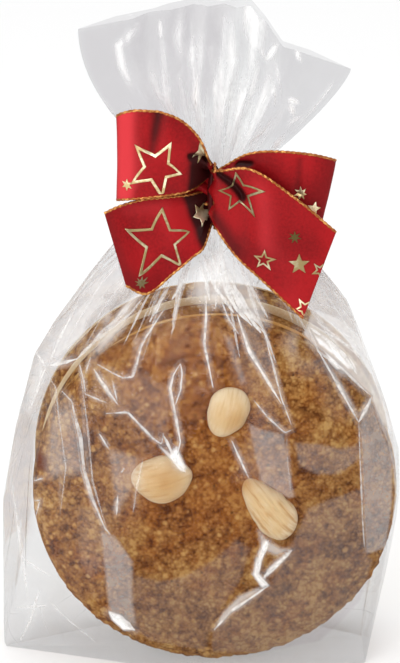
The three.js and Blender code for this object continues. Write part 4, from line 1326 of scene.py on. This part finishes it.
def strip_frame(strip, way, across):
    """The slopes of the unpleated strip along and across, and its front normal."""
    after = np.minimum(way + 0.004, 1)
    before = np.maximum(way - 0.004, 0)
    along = strip_flat(strip, after, across) - strip_flat(strip, before, across)
    along /= (after - before)[..., None]
    over = strip_flat(strip, way, np.ones_like(across)) - strip_flat(strip, way, np.zeros_like(across))
    return along, over, unit(np.cross(over, along))


def strip_folds(strip, way, across):
    """Each fold's lift and painted tone, highlight above 0 and shade below, and its bell shape: full on its
    line and falling off over its reach.
    """
    scale = np.array([strip["length"], RIBBON_WIDTH / MM])
    for start, end, reach, lift, light in strip["folds"]:
        gap = to_line(way * scale[0], across * scale[1], start * scale, end * scale)[0]
        yield lift, light, np.exp(-(gap / reach) ** 2)


def strip_surface(strip, way, across):
    """The strip with sharp pleats that fade away from its pinched ends, a soft wave along it, and its folds,
    each a bell shape towards the front or back."""
    length = run_length(strip_flat(strip, np.linspace(0, 1, 60), np.full(60, 0.5)))[-1]
    fade = np.zeros_like(way)
    for end, pinched in zip((way, 1 - way), strip["pinched"]):
        fade = fade + pinched * np.exp(-end * length / PLEAT_REACH)
    pleat = np.abs((across * PLEATS_ACROSS + 0.3) % 2 - 1) * 2 - 1
    wave = RIBBON_WAVE * np.sin(way * 9 + across * 2.2) * np.sin(np.pi * np.clip(way, 0, 1))
    out = strip_frame(strip, way, across)[2] * (PLEAT_DEPTH * fade * pleat + wave)[..., None]
    places = strip_flat(strip, way, across) + out
    for lift, _, bell in strip_folds(strip, way, across):
        places[..., 1] -= lift * bell
    return places


def strip_sheet(strip):
    """Both faces of a strip, half its thickness either side of its surface, and the faces that close its
    edges; its painted tone, highlight above 0 and shade below, is the sum of its folds' bell shapes, kept
    between -1 and 1."""
    way, across = np.meshgrid(np.linspace(0, 1, STRIP_ALONG), np.linspace(0, 1, STRIP_ACROSS), indexing="ij")
    middle = strip_surface(strip, way, across)
    half = surface_normals(middle) * RIBBON_THICK / 2
    places = np.concatenate([(middle + half).reshape(-1, 3), (middle - half).reshape(-1, 3)])
    front = grid_faces(STRIP_ALONG, STRIP_ACROSS)
    edge = grid_rim(STRIP_ALONG, STRIP_ACROSS)
    after = np.roll(edge, -1)
    sides = np.stack([edge, after, after + way.size, edge + way.size], axis=-1)
    faces = np.vstack([front, front[:, ::-1] + way.size, sides]).tolist()
    uv = np.stack([way * 6, across], axis=-1).reshape(-1, 2)
    tone = np.clip(sum(light * bell for _, light, bell in strip_folds(strip, way, across)), -1, 1)
    return places, faces, np.tile(uv, (2, 1)), np.tile(tone.ravel(), 2)


def knot_shell():
    """The gathered middle: an upright egg whose rings are folded into sharp pleats, with painted shade all
    over.
    """
    turn = circle(KNOT_AROUND)
    rise = -np.cos(np.pi * (np.arange(KNOT_RINGS) + 0.5) / KNOT_RINGS)
    fold = 1 - KNOT_PLEAT_DEPTH * np.abs((turn * KNOT_PLEATS / np.pi) % 2 - 1)
    ring = np.outer(np.sqrt(1 - rise ** 2), fold)
    half_x, half_y, half_z = KNOT["half"]
    y, z = KNOT["y"], KNOT["z"]
    rings = np.stack([half_x * ring * np.cos(turn), y + half_y * ring * np.sin(turn),
                      z + half_z * rise[:, None] * np.ones_like(turn)], axis=-1)
    places, faces = lathe([0, y, z - half_z], rings, [0, y, z + half_z])
    uv = np.stack([places[:, 0] * 0.2, (places[:, 2] - z) * MM / RIBBON_WIDTH], axis=-1)
    return places, faces, uv, np.full(len(places), KNOT_SHADE)


def ribbon_finish():
    """Red satin: a slow change of depth, a pink painted sheen where the mark tone is above 0 and a nearly
    black painted shade where it is below, with threads across the ribbon as fine lines in its gloss and
    relief."""
    finish, shader, along = new_finish("red_satin", {"Specular IOR Level": 0.10}, "UV")
    fold = along.mark("tone")
    place = along.node("ShaderNodeTexCoord", out="Object")
    threads = along.noise(1.0, 2, 0.5, (110, 9, 1))
    depth = place.noise(48, 1, 0.5)
    weave = place.noise(1300, 1, 0.5)
    grain = place.noise(2600, 1, 0.5)
    colour = (depth * 0.8 + weave * 0.2).step(0.36, 0.64).blend(RIBBON_DEEP, RIBBON_RED)
    # Painted sheen where the tone is above 0, painted shade where it is below
    colour = fold.step(0.0, 1.0).blend(colour, RIBBON_PAINTED_SHEEN)
    colour = (0 - fold).step(0.0, 1.0).blend(colour, RIBBON_PAINTED_SHADE)
    vary(shader, colour, 0.36 + 0.18 * threads, (threads + grain * 0.5).bump(0.25, 0.15))
    return finish


strips = [strip_sheet(strip) for strip in STRIPS.values()]
bow_places, bow_faces, bow_uv, bow_painted_tone = join(strips + [knot_shell()])
ribbon = make_piece("ribbon", bow_places, bow_faces, ribbon_finish(), "ribbon", uv=bow_uv,
                    marks={"tone": bow_painted_tone})
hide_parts("ribbon_bow")


# Gold edging
# Both long edges of the ribbon are bound over a fine wire with metallic thread, which shows as a narrow
# twisted cord of orange gold. The cut ends of the tails have none.
EDGING_WIDE = 0.46
EDGING_THICK = 0.36
EDGING_PITCH = 0.8
EDGING_STEP = 0.24
EDGING_AROUND = 10


def edging_cord(strip, across):
    """A twisted cord in even steps along one edge of a strip, closed by a flat face at each end."""
    way = np.linspace(0, 1, 600)
    length = run_length(strip_surface(strip, way, np.full(len(way), across)))
    steps = int(length[-1] / EDGING_STEP)
    even = np.interp(np.linspace(0, length[-1], steps), length, way)
    edge = np.full(steps, across)
    path = strip_surface(strip, even, edge)
    side = strip_frame(strip, even, edge)[1]
    cord = twisted_cord(path, side, EDGING_WIDE, EDGING_THICK, EDGING_PITCH, EDGING_AROUND, False)
    corner = np.arange(steps * EDGING_AROUND).reshape(steps, EDGING_AROUND)
    faces = grid_faces(steps, EDGING_AROUND, ring=True).tolist() + corner[[0, -1]].tolist()
    return cord.reshape(-1, 3), faces


cords = [edging_cord(strip, across) for strip in STRIPS.values() for across in (0.0, 1.0)]
make_piece("gold_edging", *join(cords), thread_look, "gold")


# Foil stars
# Pale gold foil stars pressed onto the ribbon: large and middling outlines, filled stars, and small
# many-pointed ones, as on common holiday ribbon.
FOIL_LIFT = 0.12
STAR_EDGE_GAP = 0.03
# Strip and place on it, points, outer radius, inner share of it, turn, line width of an outline or 0 if
# filled, and how bright its foil is painted there: low values are painted shade on its reflection
STARS = [
    ("left_loop", (0.655, 0.66), 5, 9.8, 0.42, 63, 0.8, 0.85),
    ("left_loop", (0.53, 0.83), 6, 1.8, 0.45, 90, 0, 1.0),
    ("left_loop", (0.9, 0.2), 5, 3.0, 0.42, 100, 0, 0.5),
    ("left_tail", (0.59, 0.56), 5, 11.0, 0.42, 92, 0.7, 0.45),
    ("left_tail", (0.105, 0.475), 6, 3.6, 0.5, 80, 0, 0.9),
    ("left_tail", (0.814, 0.875), 8, 1.9, 0.45, 80, 0, 0.2),
    ("right_loop", (0.679, 0.6), 7, 2.1, 0.45, 95, 0, 0.8),
    ("right_loop", (0.604, 0.815), 5, 2.3, 0.45, 75, 0, 1.0),
    ("right_tail", (0.455, 0.3), 5, 6.8, 0.42, 96, 0.5, 0.2),
    ("right_tail", (0.826, 0.355), 7, 2.0, 0.4, 90, 0, 0.0),
    ("right_tail", (0.894, 0.56), 5, 3.2, 0.42, 90, 0, 0.4),
    ("right_tail", (0.732, 0.795), 5, 3.3, 0.42, 85, 0.45, 0.5),
    ("right_tail", (0.995, 0.45), 5, 2.8, 0.42, 60, 0.45, 0.4),
    ("right_tail", (0.99, 0.9), 5, 3.4, 0.42, 120, 0.45, 0.9),
]
FOIL_PAINTED_SHADE = (0.10, 0.07, 0.02, 1)
FOIL_DEEP = (0.62, 0.46, 0.22, 1)
FOIL_BRIGHT = (0.96, 0.87, 0.60, 1)


def foil_star(name, at, points, outer, inner, turn, line, shine):
    """A band between a star's outline and a smaller copy, or down to its middle if it has no line width, laid
    on the ribbon by the strip's own slopes at its centre, without the faces past the ribbon's edges."""
    strip = STRIPS[name]
    spikes = 2 * points
    number = np.arange(spikes + 1)
    corner = number / spikes * 2 * np.pi + math.radians(turn)
    radius = np.where(number % 2, outer * inner, outer)
    fine = np.linspace(0, spikes, spikes * 6, endpoint=False)
    s = np.interp(fine, number, radius * np.cos(corner))
    t = np.interp(fine, number, radius * np.sin(corner))
    edge = math.sqrt(outer ** 2 + (outer * inner) ** 2 - 2 * outer ** 2 * inner * math.cos(np.pi / points))
    apart = outer ** 2 * inner * math.sin(np.pi / points) / edge
    share = np.linspace(1 - line / apart if line else 0.04, 1, 5 if line else 9)[:, None]
    along, over, normal = (v[0] for v in strip_frame(strip, np.array(at[:1]), np.array(at[1:])))
    level = unit(np.array([1.0, 0, 0]) - normal * normal[0])
    upright = np.cross(level, normal)
    upright *= np.sign(upright[2])
    moved = np.linalg.pinv(np.stack([along, over], axis=1)) @ np.stack([level, upright], axis=1)
    way = at[0] + moved[0, 0] * share * s + moved[0, 1] * share * t
    across = at[1] + moved[1, 0] * share * s + moved[1, 1] * share * t
    low, high = STAR_EDGE_GAP, 1 - STAR_EDGE_GAP
    on_ribbon = (way > 0) & (way < 1) & (across > low) & (across < high)
    way = np.clip(way, 0, 1)
    across = np.clip(across, low, high)
    face_out = strip_frame(strip, way, across)[2]
    face_out *= -np.sign(face_out[..., 1:2])
    places = strip_surface(strip, way, across) + face_out * (RIBBON_THICK / 2 + FOIL_LIFT)
    faces = grid_faces(*way.shape, ring=True)
    faces = faces[on_ribbon.ravel()[faces].any(axis=1)].tolist()
    if not line:
        faces.append(list(range(way.shape[1])))
    return places.reshape(-1, 3), faces, np.full(way.size, shine)


def foil_finish():
    """Pale gold foil, darkened toward a painted shade where its brightness mark is low, with slow changes and
    fine scratches.
    """
    finish, shader, place = new_finish("gold_foil", {"Metallic": 0.85, "Specular IOR Level": 0.6})
    slow = place.noise(260, 3, 0.6)
    scratch = place.noise(1500, 2, 0.5)
    colour = slow.step(0.42, 0.62).blend(FOIL_DEEP, FOIL_BRIGHT)
    # Painted shade: each star's mark darkens its foil toward a dull brown
    colour = (place.mark("shine") * (0.8 + 0.4 * slow)).blend(FOIL_PAINTED_SHADE, colour)
    vary(shader, colour, 0.5 - 0.3 * slow, (slow + scratch * 0.3).bump(0.4, 0.2))
    return finish


star_places, star_faces, star_painted_shine = join([foil_star(*star) for star in STARS])
foil_stars = make_piece("foil_stars", star_places, star_faces, foil_finish(), "gold", closed=False,
                        marks={"shine": star_painted_shine})
foil = foil_stars.modifiers.new("foil", "SOLIDIFY")
foil.thickness = FOIL_LIFT * MM
foil.offset = 0


# Floor, light and camera
# A plain white table, with soft boxes to the left, to the right and above, and pale light all round that is
# weaker from the front. The camera looks a little down at the front of the pack.
FLOOR_HALF = 3.0
FLOOR_WHITE = (0.93, 0.93, 0.93, 1)
# Place and aim in mm, width and height in mm, watts
SOFT_BOXES = {
    "key_left": ((-480, -900, 520), (0, 0, 80), (800, 800), 6.5),
    "fill_right": ((850, -650, 380), (0, 0, 90), (350, 700), 1.2),
    "strip_left": ((-330, -800, 560), (0, 0, 90), (60, 420), 0.5),
    "strip_high": ((160, -620, 900), (0, 0, 100), (420, 60), 0.8),
}
ROUND_LIGHT = 1.15
ROUND_LIGHT_LESS_IN_FRONT = 0.85
CAMERA_TARGET = (-4.3, 0.0, 102.0)
CAMERA_DISTANCE = 900.0
CAMERA_RISE = math.radians(18.1)
CAMERA_LENS = 163.9


def place_in_scene(name, data):
    """A lamp, camera or mesh as an object in the scene."""
    placed = bpy.data.objects.new(name, data)
    bpy.context.scene.collection.objects.link(placed)
    return placed


floor_mesh = bpy.data.meshes.new("floor")
floor_corners = [(x * FLOOR_HALF, y * FLOOR_HALF, 0) for x, y in ((-1, -1), (1, -1), (1, 1), (-1, 1))]
floor_mesh.from_pydata(floor_corners, [], [(0, 1, 2, 3)])
floor_constants = {"Base Color": FLOOR_WHITE, "Roughness": 0.8, "Specular IOR Level": 0.1}
floor_mesh.materials.append(new_finish("white_table", floor_constants)[0])
place_in_scene("floor", floor_mesh)

for name, (place, aim, size, watts) in SOFT_BOXES.items():
    lamp = bpy.data.lights.new(name, "AREA")
    lamp.shape = "RECTANGLE"
    lamp.size = size[0] * MM
    lamp.size_y = size[1] * MM
    lamp.energy = watts
    box = place_in_scene(name, lamp)
    box.location = [c * MM for c in place]
    right, ahead, up = np.subtract(aim, place)
    lean = math.atan2(math.hypot(right, ahead), -up)
    box.rotation_euler = (lean, 0, math.atan2(ahead, right) - math.pi / 2)

world = bpy.data.worlds.new("studio")
world.use_nodes = True
background = world.node_tree.nodes["Background"]
way_out = Tone(world.node_tree).node("ShaderNodeTexCoord", out="Generated")
to_back = way_out.node("ShaderNodeSeparateXYZ", None, {"Vector": way_out}, 1)
to_top = way_out.node("ShaderNodeSeparateXYZ", None, {"Vector": way_out}, 2)
in_front = (0 - to_back).step(0.0, 0.6) * (1 - to_top.step(0.5, 0.85))
way_out.feed(background.inputs["Strength"], ROUND_LIGHT - ROUND_LIGHT_LESS_IN_FRONT * in_front)
background.inputs["Color"].default_value = (1, 1, 1, 1)
bpy.context.scene.world = world
bpy.context.scene.view_settings.view_transform = "Standard"
bpy.context.scene.cycles.transparent_max_bounces = 32

camera_data = bpy.data.cameras.new("camera")
camera_data.lens = CAMERA_LENS
camera_data.sensor_width = 36
camera_data.clip_start = 0.05
camera_data.clip_end = 20
camera = place_in_scene("camera", camera_data)
camera.location = (CAMERA_TARGET[0] * MM,
                   (CAMERA_TARGET[1] - CAMERA_DISTANCE * math.cos(CAMERA_RISE)) * MM,
                   (CAMERA_TARGET[2] + CAMERA_DISTANCE * math.sin(CAMERA_RISE)) * MM)
camera.rotation_euler = (math.pi / 2 - CAMERA_RISE, 0, 0)
bpy.context.scene.camera = camera
